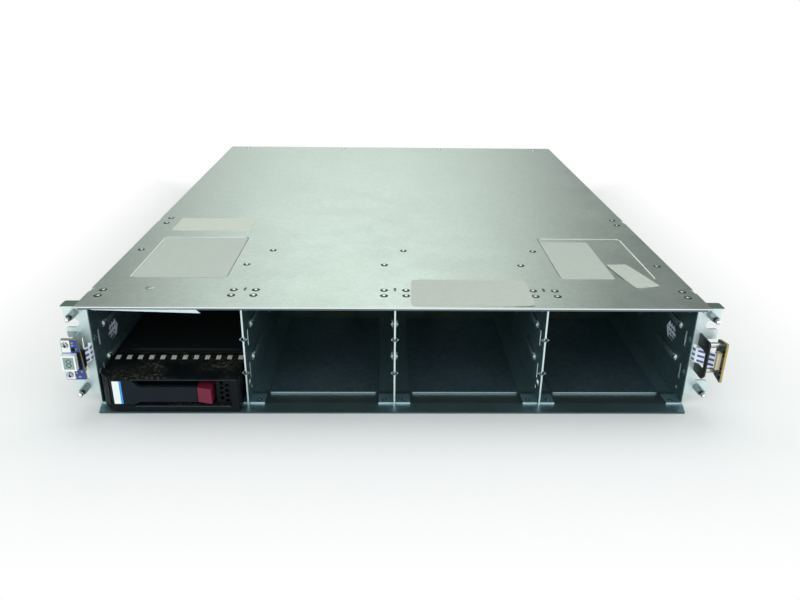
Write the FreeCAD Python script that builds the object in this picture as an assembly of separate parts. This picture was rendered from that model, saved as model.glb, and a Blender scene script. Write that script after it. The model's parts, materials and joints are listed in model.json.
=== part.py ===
import FreeCAD, Part
import math
import os
from FreeCAD import Vector

# A two-unit rack enclosure for 3.5-inch drives: four bay columns of three rows, one drive fitted.
# Millimetres. X to the right, Y into the chassis, Z up. The origin is on the bottom face, on the
# centre line, in the plane of the ears' rear faces, which seat on the rack's posts.

# Chassis
BODY_HEIGHT = 88.0
COVER_LENGTH = 565.0
COVER_OVERHANG = 16.5
LIP_OVERHANG = 13.6
LIP_SETBACK = 2.5
PAN_T = 1.2
SKIN_T = 1.0
SKIN_SETBACK = 3.0
COVER_T = 1.0
TOP_FLANGE = 16.0
HEM_T = 1.2
HEM_DEPTH = 8.0

# Rack ears, bent from the outer bay walls
RACK_WIDTH = 482.6
EAR_REACH = 17.2
NOTCH_INSET = 8.75
EAR_T = 1.2
EAR_BOTTOM = 9.5
EAR_TOP = 81.5
EAR_INSET = 2.0
EAR_FLANGE_DEPTH = 11.0
EAR_FLANGE_GAP = 2.0
EAR_FLANGE_BEND = 1.0
EAR_RELIEF = 1.2
NOTCH_Z = 68.5
NOTCH_RADIUS = 3.4
CUTOUT_BOTTOM = 22.0
CUTOUT_TOP = 57.0
CUTOUT_DEPTH = 11.0
STUD_INSET = 10.5
STUD_LOW_Z = 16.8
STUD_HIGH_Z = 77.2
STUD_FLATS = 4.8
STUD_LENGTH = 10.0
STUD_BALL = 3.8

# Bays
BAY_COLUMNS = 4
BAY_ROWS = 3
DIVIDER_T = 1.2
DIVIDER_OVERHANG = 3.5
FOOT_WIDTH = 11.5
FOOT_LENGTH = 13.0
TOP_TAB_WIDTH = 15.0
FLOOR_PLATE_T = 1.2
FLOOR_PLATE_FRONT = 14.0
FLOOR_PLATE_LENGTH = 140.0
RIB_FRONTS = (23.0, 106.0)
RIB_LENGTH = 38.0
RIB_HEIGHT = 4.4
RIB_PROUD = 2.0
NOSE_Y = 21.5
NOSE_RADIUS = 2.9
EYELET_SIZE = 5.6
EYELET_REACH = 2.2
EYELET_WIRE = 0.9
EYELET_DROP = 1.4

# Ribbon cables between ear wall and skin
RIBBON_GAP = 0.5
RIBBON_T = 0.3
RIBBON_WIDTH = 12.0
RIBBON_Z = 45.6
RIBBON_ROOM = 0.8

# Boards on the ears
BOARD_T = 1.6
BRACKET_T = 1.2
BOARD_BOTTOM = 30.0
BOARD_HEIGHT = 32.0
DISPLAY_STAND_OFF = 13.2
LED_BRACKET_DEPTH = 18.0
STANDOFF_LENGTH = 10.8

# Midplane
DRIVE_LENGTH = 147.0
SOCKET_DEPTH = 5.6
MIDPLANE_T = 2.4
BULKHEAD_T = 1.2
BULKHEAD_FOOT = 9.0

# Drive carrier
DRIVE_ROOM = 4.1
BEZEL_ROOM = 3.4
RUNNER_ROOM = 1.5
RUN_CLEAR = 0.3
MATE_CLEAR = 0.4
BEZEL_HEADROOM = 0.9
DRIVE_HEADROOM = 1.7
BEZEL_OVERHANG = 14.0
BEZEL_DEPTH = 30.0
NECK_DEPTH = 14.0
BEZEL_WALL = 2.0
RECESS_DEPTH = 12.0
RAIL_T = 1.2
LEVER_HEIGHT = 12.6
LEVER_T = 3.6
LEVER_BARREL = 1.9
LEVER_CLEAR = 0.3
LEVER_END_CLEAR = 0.5
PIN_RADIUS = 1.0
PIN_CLEAR = 0.05
BUTTON_WIDTH = 10.8
BUTTON_HEIGHT = 12.2
BUTTON_CLEAR = 0.3
FINGER_COUNT = 12
FINGER_WIDTH = 3.6

# Rear modules
IO_SHARE = 0.5245
PARTITION_T = 1.2
SHELF_T = 1.2
MODULE_CLEAR = 0.4
MODULE_WALL = 1.0
MODULE_SOCKET_ROOM = 15.9
MODULE_REAR_SETBACK = 1.0
FAN_HUB = 13.0
FAN_DEPTH = 10.0
FAN_BLADES = 7
SHAFT_RADIUS = 2.0
CAM_LENGTH = 78.0
CAM_HEIGHT = 8.0
CAM_T = 4.0
CAM_PIVOT_OFFSET = 4.2
CAM_PIN_RADIUS = 1.5

# Worked out from the sizes above
HALF_WIDTH = RACK_WIDTH / 2 - EAR_REACH
SKIN_IN = HALF_WIDTH - SKIN_T
WALL_OUT = SKIN_IN - RIBBON_GAP
WALL_IN = WALL_OUT - EAR_T
PITCH = (2 * WALL_IN + DIVIDER_T) / BAY_COLUMNS
BAY_CLEAR = PITCH - DIVIDER_T
COVER_FRONT = -COVER_OVERHANG
COVER_REAR = COVER_FRONT + COVER_LENGTH
COVER_UNDER = BODY_HEIGHT - COVER_T
FLANGE_UNDER = COVER_UNDER - SKIN_T
FLOOR_Z = PAN_T + FLOOR_PLATE_T
ROW_PITCH = (COVER_UNDER - HEM_T - FLOOR_Z) / BAY_ROWS
CARRIER_Z = FLOOR_Z + RUN_CLEAR
EAR_EDGE = RACK_WIDTH / 2 - EAR_INSET
NOTCH_X = RACK_WIDTH / 2 - NOTCH_INSET
STUD_X = RACK_WIDTH / 2 - STUD_INSET
CUTOUT_X = EAR_EDGE - CUTOUT_DEPTH
DRIVE_WIDTH = BAY_CLEAR - 2 * DRIVE_ROOM
DRIVE_HEIGHT = ROW_PITCH - DRIVE_HEADROOM
BEZEL_HEIGHT = ROW_PITCH - BEZEL_HEADROOM
BEZEL_WIDTH = BAY_CLEAR - 2 * BEZEL_ROOM
RUNNER_REACH = BAY_CLEAR / 2 - RUNNER_ROOM
BEZEL_FRONT = -BEZEL_OVERHANG
BEZEL_REAR = BEZEL_FRONT + BEZEL_DEPTH
NECK_REAR = BEZEL_REAR + NECK_DEPTH
DRIVE_FRONT = NECK_REAR + 2.0
DRIVE_REAR = DRIVE_FRONT + DRIVE_LENGTH
PLUG_REAR = DRIVE_REAR + 1.0
SOCKET_FRONT = PLUG_REAR + MATE_CLEAR
MIDPLANE_FRONT = SOCKET_FRONT + SOCKET_DEPTH
BULKHEAD_FRONT = MIDPLANE_FRONT + MIDPLANE_T
BULKHEAD_REAR = BULKHEAD_FRONT + BULKHEAD_T
WALL_REAR = MIDPLANE_FRONT - 0.5
PARTITION_X = IO_SHARE * SKIN_IN
MODULE_REAR = COVER_REAR - MODULE_REAR_SETBACK
MODULE_FRONT = BULKHEAD_REAR + MODULE_SOCKET_ROOM
SHELF_Z = (PAN_T + FLANGE_UNDER) / 2


def bay_x(column):
    return (column - (BAY_COLUMNS - 1) / 2) * PITCH


def divider_x(index):
    return (index - (BAY_COLUMNS - 2) / 2) * PITCH


def row_floor(row):
    return FLOOR_Z + row * ROW_PITCH


CORNER_STEP = math.radians(23)

PLACES = {
    "xy": lambda u, v, w: Vector(u, v, w),
    "xz": lambda u, v, w: Vector(u, w, v),
    "yz": lambda u, v, w: Vector(w, u, v),
}


def box(x0, x1, y0, y1, z0, z1):
    return Part.makeBox(x1 - x0, y1 - y0, z1 - z0, Vector(x0, y0, z0))


def rod(x, y, z, axis, length, radius):
    return Part.makeCylinder(radius, length, Vector(x, y, z), Vector(*axis))


def corner_points(before, corner, after):
    """A corner (u, v) as it is, or a corner (u, v, radius) rounded in short straight runs."""
    here = Vector(corner[0], corner[1], 0)
    if len(corner) < 3:
        return [here]
    back = (Vector(before[0], before[1], 0) - here).normalize()
    ahead = (Vector(after[0], after[1], 0) - here).normalize()
    half = back.getAngle(ahead) / 2
    centre = here + (back + ahead).normalize() * (corner[2] / math.sin(half))
    first = here + back * (corner[2] / math.tan(half)) - centre
    sweep = math.copysign(math.pi - 2 * half, ahead.x * back.y - ahead.y * back.x)
    steps = max(2, math.ceil(abs(sweep) / CORNER_STEP))
    points = []
    for k in range(steps + 1):
        a = sweep * k / steps
        u = first.x * math.cos(a) - first.y * math.sin(a)
        v = first.x * math.sin(a) + first.y * math.cos(a)
        points.append(centre + Vector(u, v, 0))
    return points


def prism(plane, corners, low, high):
    """Extrude a closed outline of straight runs."""
    place = PLACES[plane]
    outline = []
    for index, corner in enumerate(corners):
        after = corners[(index + 1) % len(corners)]
        outline += corner_points(corners[index - 1], corner, after)
    points = [place(p.x, p.y, low) for p in outline]
    face = Part.Face(Part.makePolygon(points + points[:1]))
    return face.extrude(place(0, 0, high) - place(0, 0, low))


def polygon(u, v, radius, sides):
    """Corners of a regular polygon drawn round a circle of the given radius."""
    reach = radius / math.cos(math.pi / sides)
    turns = [math.pi * (2 * k + 1) / sides for k in range(sides)]
    return [(u + reach * math.cos(a), v + reach * math.sin(a)) for a in turns]


def turned(foot, axis, steps, sides):
    """A small turned piece with flats: polygons of each step's radius at its height above the foot."""
    axis = Vector(*axis)
    across = Vector(1, 0, 0) if abs(axis.z) > 0.5 else Vector(0, 0, 1)
    along = axis.cross(across)
    rings = []
    for height, radius in steps:
        centre = Vector(*foot) + axis * height
        corners = [centre + across * u + along * v for u, v in polygon(0, 0, radius, sides)]
        rings.append(corners + corners[:1])
    outlines = [rings[0], rings[-1]]
    for lower, upper in zip(rings, rings[1:]):
        for k in range(sides):
            outlines.append([lower[k], lower[k + 1], upper[k + 1], upper[k], lower[k]])
    solid = Part.Solid(Part.Shell([Part.Face(Part.makePolygon(points)) for points in outlines]))
    if solid.Volume < 0:
        solid.reverse()
    return solid


def bead_outline(u, v, length, height):
    """A long bead with pointed ends."""
    end = length / 2
    half = height / 2
    inner = end - half * 0.7
    right = [(u + inner, v - half), (u + end, v), (u + inner, v + half)]
    left = [(u - inner, v + half), (u - end, v), (u - inner, v - half)]
    return right + left


def joined(first, *others):
    return first.fuse(list(others)).removeSplitter()


def mirrored(shape):
    return shape.mirror(Vector(0, 0, 0), Vector(1, 0, 0))


def save(node, *solids):
    shape = solids[0] if len(solids) == 1 else Part.makeCompound(list(solids))
    shape.exportStep("parts/%s.step" % node)


def chassis_tub():
    section = [
        (-HALF_WIDTH, 0),
        (HALF_WIDTH, 0),
        (HALF_WIDTH, COVER_UNDER),
        (HALF_WIDTH - TOP_FLANGE, COVER_UNDER),
        (HALF_WIDTH - TOP_FLANGE, FLANGE_UNDER),
        (SKIN_IN, FLANGE_UNDER),
        (SKIN_IN, PAN_T),
        (-SKIN_IN, PAN_T),
        (-SKIN_IN, FLANGE_UNDER),
        (TOP_FLANGE - HALF_WIDTH, FLANGE_UNDER),
        (TOP_FLANGE - HALF_WIDTH, COVER_UNDER),
        (-HALF_WIDTH, COVER_UNDER),
    ]
    channel = prism("xz", section, SKIN_SETBACK, COVER_REAR)
    lip_half = WALL_OUT - LIP_SETBACK
    lip = [
        (-WALL_OUT, SKIN_SETBACK),
        (-WALL_OUT, -EAR_T),
        (-lip_half, -LIP_OVERHANG),
        (lip_half, -LIP_OVERHANG),
        (WALL_OUT, -EAR_T),
        (WALL_OUT, SKIN_SETBACK),
    ]
    return joined(channel, prism("xy", lip, 0, PAN_T))


LABEL_WIDTH = 75.0
LABEL_LENGTH = 100.0
LABEL_FRONT = 40.0
LABEL_SINK = 0.4
NOTCH_DEPTH = 2.5
NOTCH_LENGTH = 7.0
SIDE_NOTCHES = (12.0, 188.0)
TAB_LENGTH = 5.4
TAB_Y = 17.5
TAB_CLEAR = 0.3
LOUVRE_X = -181.0
LOUVRE_Y = 18.0
LOUVRE_RADIUS = 3.2


def top_cover():
    edge = HALF_WIDTH
    corners = [(-edge, COVER_FRONT, 1.5), (edge, COVER_FRONT, 1.5)]
    for y in SIDE_NOTCHES:
        corners += [(edge, y), (edge - NOTCH_DEPTH, y), (edge - NOTCH_DEPTH, y + NOTCH_LENGTH)]
        corners += [(edge, y + NOTCH_LENGTH)]
    corners += [(edge, COVER_REAR), (-edge, COVER_REAR)]
    for y in reversed(SIDE_NOTCHES):
        corners += [(-edge, y + NOTCH_LENGTH), (NOTCH_DEPTH - edge, y + NOTCH_LENGTH)]
        corners += [(NOTCH_DEPTH - edge, y), (-edge, y)]
    sheet = prism("xy", corners, COVER_UNDER, BODY_HEIGHT)
    hem = box(-WALL_IN, WALL_IN, COVER_FRONT, COVER_FRONT + HEM_DEPTH, COVER_UNDER - HEM_T, COVER_UNDER)
    cuts = []
    for column in (0, BAY_COLUMNS - 1):
        x = bay_x(column)
        low = (x - LABEL_WIDTH / 2, LABEL_FRONT)
        high = (x + LABEL_WIDTH / 2, LABEL_FRONT + LABEL_LENGTH)
        pad = [(*low, 4), (high[0], low[1], 4), (*high, 4), (low[0], high[1], 4)]
        cuts.append(prism("xy", pad, BODY_HEIGHT - LABEL_SINK, BODY_HEIGHT))
    for index in range(BAY_COLUMNS - 1):
        half = DIVIDER_T / 2 + TAB_CLEAR
        reach = TAB_LENGTH / 2 + TAB_CLEAR
        x = divider_x(index)
        cuts.append(box(x - half, x + half, TAB_Y - reach, TAB_Y + reach, COVER_UNDER, BODY_HEIGHT))
    left = LOUVRE_X - LOUVRE_RADIUS
    right = LOUVRE_X + LOUVRE_RADIUS
    front = LOUVRE_Y - LOUVRE_RADIUS
    arch = [(left, LOUVRE_Y), (left, front, LOUVRE_RADIUS - 0.1), (right, front, LOUVRE_RADIUS - 0.1),
            (right, LOUVRE_Y)]
    cuts.append(prism("xy", arch, COVER_UNDER, BODY_HEIGHT))
    return joined(sheet, hem).cut(cuts)


RIVET_RADIUS = 3.0
RIVET_HEIGHT = 0.7
RIVET_OFFSET = 8.1
RIVET_ROWS = (5.5, 16.0)
LEFT_TAB_Y = 70.0
RIGHT_TAB_Y = 105.0
SIDE_RIVET_INSET = 9.5
SIDE_RIVETS = (4.0, 15.0, 182.0, 198.0)


def cover_rivets():
    places = []
    for index in range(BAY_COLUMNS - 1):
        x = divider_x(index)
        places += [(x + side * RIVET_OFFSET, y) for side in (-1, 1) for y in RIVET_ROWS]
        places += [(x - RIVET_OFFSET, LEFT_TAB_Y), (x + RIVET_OFFSET, RIGHT_TAB_Y)]
    for side in (-1, 1):
        x = side * (HALF_WIDTH - SIDE_RIVET_INSET)
        places += [(x, y) for y in SIDE_RIVETS]
        places.append((x, LEFT_TAB_Y if side > 0 else RIGHT_TAB_Y))
    heads = []
    for x, y in places:
        outline = polygon(x, y, RIVET_RADIUS, 6)
        heads.append(prism("xy", outline, BODY_HEIGHT, BODY_HEIGHT + RIVET_HEIGHT))
    return heads


def guide_ribs(face_x, side):
    """Embossed ribs on a bay wall face that looks towards side (+1 or -1); the first has a raised nose."""
    shapes = []
    steps = ((0, NOSE_RADIUS), (RIB_PROUD, NOSE_RADIUS * 0.45))
    for row in range(1, BAY_ROWS):
        z = row_floor(row)
        reach = sorted((face_x, face_x + side * RIB_PROUD * 0.8))
        for front in RIB_FRONTS:
            bead = bead_outline(front + RIB_LENGTH / 2, z, RIB_LENGTH, RIB_HEIGHT)
            shapes.append(prism("yz", bead, *reach))
        shapes.append(turned((face_x, NOSE_Y, z), (side, 0, 0), steps, 6))
    return shapes


def diamond(u, v, reach, half):
    return [(u - reach, v), (u, v - half), (u + reach, v), (u, v + half)]


def eyelets(x, front):
    """Diamond loops round the front edge at each row, which lead the carriers in, and their holes."""
    loops = []
    holes = []
    reach = EYELET_REACH + DIVIDER_T / 2
    for row in range(1, BAY_ROWS):
        z = row_floor(row) - EYELET_DROP
        half = EYELET_SIZE / 2
        loops.append(prism("xz", diamond(x, z, reach, half), front, front + DIVIDER_T))
        inner = diamond(x, z, reach - EYELET_WIRE, half - EYELET_WIRE)
        holes.append(prism("xz", inner, front, front + 2 * DIVIDER_T))
    return loops, holes


def foot(face_x, side, front):
    reach = sorted((face_x, face_x + side * FOOT_WIDTH))
    return box(*reach, front, front + FOOT_LENGTH, PAN_T, PAN_T + DIVIDER_T)


FOOT_HOLE_Z = 16.5
FOOT_HOLE_LENGTH = 7.0
FOOT_HOLE_HEIGHT = 3.6
LANCE_Y = 9.2
LANCE_WIDTH = 2.4
LANCE_HEIGHT = 12.5
PILOT_Y = 11.5
PILOT_RADIUS = 1.4
PILOT_LOW = 9.2
PILOT_HIGH = 74.0


def wall_cuts(x0, x1):
    """Lanced slits and pilot holes near a bay wall's front edge."""
    cuts = []
    for row in range(1, BAY_ROWS):
        high = row_floor(row)
        cuts.append(box(x0, x1, LANCE_Y, LANCE_Y + LANCE_WIDTH, high - LANCE_HEIGHT, high))
    for z in (PILOT_LOW, PILOT_HIGH):
        cuts.append(prism("yz", polygon(PILOT_Y, z, PILOT_RADIUS, 8), x0, x1))
    return cuts


TAB_MARGIN = 7.0
SIDE_TAB_HALF = 12.0
FOOT_SETBACK = 2.0


def bay_divider(index):
    x = divider_x(index)
    front = -DIVIDER_OVERHANG
    half = DIVIDER_T / 2
    sheet = box(x - half, x + half, front, WALL_REAR, PAN_T, COVER_UNDER)
    tab_half = TAB_LENGTH / 2
    extras = [box(x - half, x + half, TAB_Y - tab_half, TAB_Y + tab_half, COVER_UNDER, BODY_HEIGHT)]
    low = COVER_UNDER - DIVIDER_T
    wide = half + TOP_TAB_WIDTH
    front_tab = (RIVET_ROWS[0] - TAB_MARGIN, RIVET_ROWS[1] + TAB_MARGIN)
    extras.append(box(x - wide, x + wide, *front_tab, low, COVER_UNDER))
    for left, right, y in ((x - wide, x, LEFT_TAB_Y), (x, x + wide, RIGHT_TAB_Y)):
        extras.append(box(left, right, y - SIDE_TAB_HALF, y + SIDE_TAB_HALF, low, COVER_UNDER))
    loops, holes = eyelets(x, front)
    extras += loops
    for side in (-1, 1):
        face = x + side * half
        extras += guide_ribs(face, side)
        extras.append(foot(face, side, front + FOOT_SETBACK))
    hole_y = front + FOOT_SETBACK + FOOT_LENGTH / 2
    hole = bead_outline(hole_y, FOOT_HOLE_Z, FOOT_HOLE_LENGTH, FOOT_HOLE_HEIGHT)
    holes.append(prism("yz", hole, x - half, x + half))
    return joined(sheet, *extras).cut(holes + wall_cuts(x - half, x + half))


WINDOW_LENGTH = 20.0
WINDOW_FRONT = 28.0
WINDOW_LIFT = -0.6
SLOT_WIDTH = 3.2
CHEVRON_Y = 3.4
CHEVRON_DROP = 3.9
CHEVRON_PROUD = 1.0


def right_ear_wall():
    """Outer bay wall; its front edge is bent outwards into the rack ear."""
    room = RIBBON_WIDTH / 2 + RIBBON_ROOM
    bend = [
        (WALL_IN, WALL_REAR),
        (WALL_IN, -EAR_T, EAR_T * 0.9),
        (WALL_OUT, -EAR_T),
        (WALL_OUT, WALL_REAR),
    ]
    web = prism("xy", bend, PAN_T, FLANGE_UNDER)
    ear = [
        (WALL_IN + EAR_T / 2, EAR_BOTTOM),
        (EAR_EDGE, EAR_BOTTOM, 3),
        (EAR_EDGE, CUTOUT_BOTTOM, 3),
        (CUTOUT_X, CUTOUT_BOTTOM, 1.5),
        (CUTOUT_X, CUTOUT_TOP, 1.5),
        (EAR_EDGE, CUTOUT_TOP, 2),
        (EAR_EDGE, NOTCH_Z - NOTCH_RADIUS, 2.5),
        (NOTCH_X, NOTCH_Z - NOTCH_RADIUS),
        (NOTCH_X, NOTCH_Z + NOTCH_RADIUS),
        (EAR_EDGE, NOTCH_Z + NOTCH_RADIUS, 1.5),
        (EAR_EDGE, EAR_TOP),
        (WALL_IN + EAR_T / 2, EAR_TOP),
    ]
    plate = prism("xz", ear, -EAR_T, 0)
    tip = RACK_WIDTH / 2
    start = HALF_WIDTH + EAR_FLANGE_GAP
    flange = [
        (start, -EAR_T),
        (tip, -EAR_T, 1.5),
        (tip, EAR_FLANGE_DEPTH - EAR_T, 1.5),
        (start, EAR_FLANGE_DEPTH - EAR_T),
    ]
    under = EAR_TOP - EAR_T
    bend_fill = [(-EAR_T, under), (-EAR_T, under - EAR_FLANGE_BEND), (0, under - EAR_FLANGE_BEND),
                 (EAR_FLANGE_BEND, under)]
    extras = [plate, prism("xy", flange, under, EAR_TOP), prism("yz", bend_fill, start, EAR_EDGE)]
    extras += guide_ribs(WALL_IN, -1)
    extras.append(foot(WALL_IN, -1, FOOT_SETBACK - DIVIDER_OVERHANG))
    for row in range(1, BAY_ROWS):
        z = row_floor(row) - CHEVRON_DROP
        half = EYELET_SIZE / 2
        loop = prism("yz", diamond(CHEVRON_Y, z, half, half), WALL_IN - CHEVRON_PROUD, WALL_IN)
        inner = half - EYELET_WIRE
        hole = prism("yz", diamond(CHEVRON_Y, z, inner, inner), WALL_IN - CHEVRON_PROUD, WALL_IN)
        extras.append(loop.cut(hole))
    middle = WINDOW_FRONT + WINDOW_LENGTH / 2
    window = bead_outline(middle, RIBBON_Z + WINDOW_LIFT, WINDOW_LENGTH, 2 * room)
    cuts = [prism("yz", window, WALL_IN, WALL_OUT)]
    cuts.append(rod(NOTCH_X, -EAR_T, NOTCH_Z, (0, 1, 0), EAR_T, NOTCH_RADIUS))
    relief = under - EAR_FLANGE_BEND - EAR_RELIEF
    cuts.append(box(start - EAR_RELIEF, start, -EAR_T, 0, relief, EAR_TOP))
    cuts.append(box(WALL_OUT, WALL_OUT + SLOT_WIDTH, -EAR_T, 0, RIBBON_Z - room, RIBBON_Z + room))
    return joined(web, *extras).cut(cuts + wall_cuts(WALL_IN, WALL_OUT))


def ball_stud(x, z):
    front = -EAR_T - STUD_LENGTH
    shank = prism("xz", polygon(x, z, STUD_FLATS / 2, 6), front, -EAR_T)
    ball = STUD_BALL / 2
    shares = ((0, 1), (1, 0.62), (1.5, 0.9), (2, 1), (2.6, 0.8), (3, 0.3))
    steps = [(ball * height, ball * radius) for height, radius in shares]
    return joined(shank, turned((x, front, z), (0, -1, 0), steps, 8))


def bay_floor_plates():
    half = BAY_CLEAR / 2 - FOOT_WIDTH - 1.0
    plates = []
    for column in range(BAY_COLUMNS):
        x = bay_x(column)
        rear = FLOOR_PLATE_FRONT + FLOOR_PLATE_LENGTH
        plan = [
            (x - half, rear),
            (x - half, FLOOR_PLATE_FRONT, 2),
            (x + half, FLOOR_PLATE_FRONT, 2),
            (x + half, rear),
        ]
        plates.append(prism("xy", plan, PAN_T, FLOOR_Z))
    return plates


DISPLAY_BRACKET_X = EAR_EDGE - 10.3
DISPLAY_OUTER_X = EAR_EDGE - 1.3
DISPLAY_Y = -EAR_T - DISPLAY_STAND_OFF
BOARD_TOP = BOARD_BOTTOM + BOARD_HEIGHT
DIGIT_WIDTH = 10.0
DIGIT_HEIGHT = 12.0
DIGIT_DEPTH = 4.6
DIGIT_Z = 45.4
DIGIT_RIM = 1.2
DIGIT_SINK = 0.3
BOARD_SCREW_RADIUS = 2.6
BOARD_SCREW_HEIGHT = 1.2


def display_bracket():
    inner = -DISPLAY_BRACKET_X
    web = box(inner - BRACKET_T, inner, DISPLAY_Y, -EAR_T, BOARD_BOTTOM, BOARD_TOP)
    face = box(-DISPLAY_OUTER_X, inner, DISPLAY_Y, DISPLAY_Y + BRACKET_T, BOARD_BOTTOM, BOARD_TOP)
    seat = box(-DISPLAY_OUTER_X, inner, -EAR_T - BRACKET_T, -EAR_T, CUTOUT_TOP + 0.5, BOARD_TOP)
    return joined(web, face, seat)


def display_board():
    corners = [
        (-DISPLAY_OUTER_X, BOARD_BOTTOM, 1),
        (-WALL_OUT - 1.0, BOARD_BOTTOM, 1),
        (-WALL_OUT - 3.6, BOARD_TOP, 1),
        (-DISPLAY_OUTER_X, BOARD_TOP, 1),
    ]
    return prism("xz", corners, DISPLAY_Y - BOARD_T, DISPLAY_Y)


def digit_display():
    left = -DISPLAY_OUTER_X + 0.4
    front = DISPLAY_Y - BOARD_T - DIGIT_DEPTH
    low = DIGIT_Z - DIGIT_HEIGHT / 2
    case = box(left, left + DIGIT_WIDTH, front, DISPLAY_Y - BOARD_T, low, low + DIGIT_HEIGHT)
    right = left + DIGIT_WIDTH
    high = low + DIGIT_HEIGHT
    rim = DIGIT_RIM
    pane = box(left + rim, right - rim, front, front + DIGIT_SINK, low + rim, high - rim)
    return case.cut(pane)


def display_board_screws():
    y = DISPLAY_Y - BOARD_T
    x = -DISPLAY_OUTER_X + 3.0
    steps = ((0, BOARD_SCREW_RADIUS), (BOARD_SCREW_HEIGHT, BOARD_SCREW_RADIUS * 0.8))
    rows = (BOARD_BOTTOM + 4.0, BOARD_TOP - 4.0)
    return [turned((x, y, z), (0, -1, 0), steps, 10) for z in rows]


SOCKET_T = 3.2
SOCKET_WIDTH = 4.6
DISPLAY_SOCKET_X = -WALL_OUT - 1.2
RIBBON_END_GAP = 0.2
SOCKET_LOW = RIBBON_Z - RIBBON_WIDTH / 2 - 0.6
SOCKET_HIGH = RIBBON_Z + RIBBON_WIDTH / 2 + 0.6


def display_cable_socket():
    right = DISPLAY_SOCKET_X
    rear = DISPLAY_Y + SOCKET_T
    return box(right - SOCKET_WIDTH, right, DISPLAY_Y, rear, SOCKET_LOW, SOCKET_HIGH)


def ribbon(start, bend, end, radius):
    """A flat cable on edge, with one bend in plan."""
    start, bend, end = (Vector(p[0], p[1], 0) for p in (start, bend, end))
    into = (bend - start).normalize()
    out = (end - bend).normalize()
    side_in = Vector(-into.y, into.x, 0) * (RIBBON_T / 2)
    side_out = Vector(-out.y, out.x, 0) * (RIBBON_T / 2)
    miter = (side_in + side_out) * (1 / (1 + into.dot(out)))
    turn = math.copysign(RIBBON_T / 2, into.x * out.y - into.y * out.x)
    corners = [start + side_in, (bend + miter, radius - turn), end + side_out]
    corners += [end - side_out, (bend - miter, radius + turn), start - side_in]
    flat = [(p[0].x, p[0].y, p[1]) if isinstance(p, tuple) else (p.x, p.y) for p in corners]
    return prism("xy", flat, RIBBON_Z - RIBBON_WIDTH / 2, RIBBON_Z + RIBBON_WIDTH / 2)


RIBBON_X = WALL_OUT + RIBBON_GAP / 2
RIBBON_BEND_Y = -4.0
RIBBON_BEND_RADIUS = 4.0


def left_ribbon_cable():
    end = (DISPLAY_SOCKET_X - SOCKET_WIDTH / 2, DISPLAY_Y + SOCKET_T + RIBBON_END_GAP)
    return ribbon((-RIBBON_X, MIDPLANE_FRONT), (-RIBBON_X, RIBBON_BEND_Y), end, RIBBON_BEND_RADIUS)


LED_BRACKET_X = EAR_EDGE - 13.3
LED_BOARD_X = LED_BRACKET_X + BRACKET_T + STANDOFF_LENGTH
LED_BOARD_DEPTH = 14.0
LED_BOARD_FRONT = -EAR_T - LED_BRACKET_DEPTH - 1.0
STANDOFF_Y = LED_BOARD_FRONT + 9.0
LED_SOCKET_FRONT = STANDOFF_Y - 5.0
STANDOFF_RADIUS = 2.0
STANDOFF_LOW = BOARD_BOTTOM + 6.2
STANDOFF_HIGH = BOARD_TOP - 5.0


def led_bracket():
    front = -EAR_T - LED_BRACKET_DEPTH
    room = RIBBON_WIDTH / 2 + RIBBON_ROOM
    corners = [
        (-EAR_T, BOARD_BOTTOM + 1),
        (front + 4, BOARD_BOTTOM + 1, 2),
        (front, BOARD_BOTTOM + 5, 2),
        (front, BOARD_TOP, 2),
        (-EAR_T, BOARD_TOP),
        (-EAR_T, RIBBON_Z + room),
        (front + 4, RIBBON_Z + room, 1),
        (front + 4, RIBBON_Z - room, 1),
        (-EAR_T, RIBBON_Z - room),
    ]
    return prism("yz", corners, LED_BRACKET_X, LED_BRACKET_X + BRACKET_T)


def led_board():
    rear = LED_BOARD_FRONT + LED_BOARD_DEPTH
    corners = [
        (LED_BOARD_FRONT, BOARD_BOTTOM, 1),
        (rear, BOARD_BOTTOM + 2.5, 1),
        (rear, BOARD_TOP - 2.5, 1),
        (LED_BOARD_FRONT, BOARD_TOP, 1),
    ]
    return prism("yz", corners, LED_BOARD_X, LED_BOARD_X + BOARD_T)


def led_board_standoffs():
    left = LED_BRACKET_X + BRACKET_T
    rows = (STANDOFF_LOW, STANDOFF_HIGH)
    right = left + STANDOFF_LENGTH
    return [prism("yz", polygon(STANDOFF_Y, z, STANDOFF_RADIUS, 10), left, right) for z in rows]


def led_cable_socket():
    left = LED_BOARD_X - SOCKET_T
    rear = LED_SOCKET_FRONT + SOCKET_WIDTH
    return box(left, LED_BOARD_X, LED_SOCKET_FRONT, rear, SOCKET_LOW, SOCKET_HIGH)


def right_ribbon_cable():
    end = (LED_BOARD_X - SOCKET_T - RIBBON_END_GAP, LED_SOCKET_FRONT + SOCKET_WIDTH / 2)
    return ribbon((RIBBON_X, MIDPLANE_FRONT), (RIBBON_X, RIBBON_BEND_Y), end, RIBBON_BEND_RADIUS)


SOCKET_HALF = 22.0
SOCKET_HEIGHT = 6.0
SOCKET_LIFT = 1.6
VENT_HALF = 40.0
VENT_LIFT = 11.0
VENT_HEIGHT = 12.0


def vent_cuts(front, rear):
    cuts = []
    for column in range(BAY_COLUMNS):
        for row in range(BAY_ROWS):
            x = bay_x(column)
            low = row_floor(row) + VENT_LIFT
            cuts.append(box(x - VENT_HALF, x + VENT_HALF, front, rear, low, low + VENT_HEIGHT))
    return cuts


def midplane_board():
    half = SKIN_IN - 0.1
    sheet = box(-half, half, MIDPLANE_FRONT, BULKHEAD_FRONT, FLOOR_Z, FLANGE_UNDER - 0.4)
    return sheet.cut(vent_cuts(MIDPLANE_FRONT, BULKHEAD_FRONT))


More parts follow.
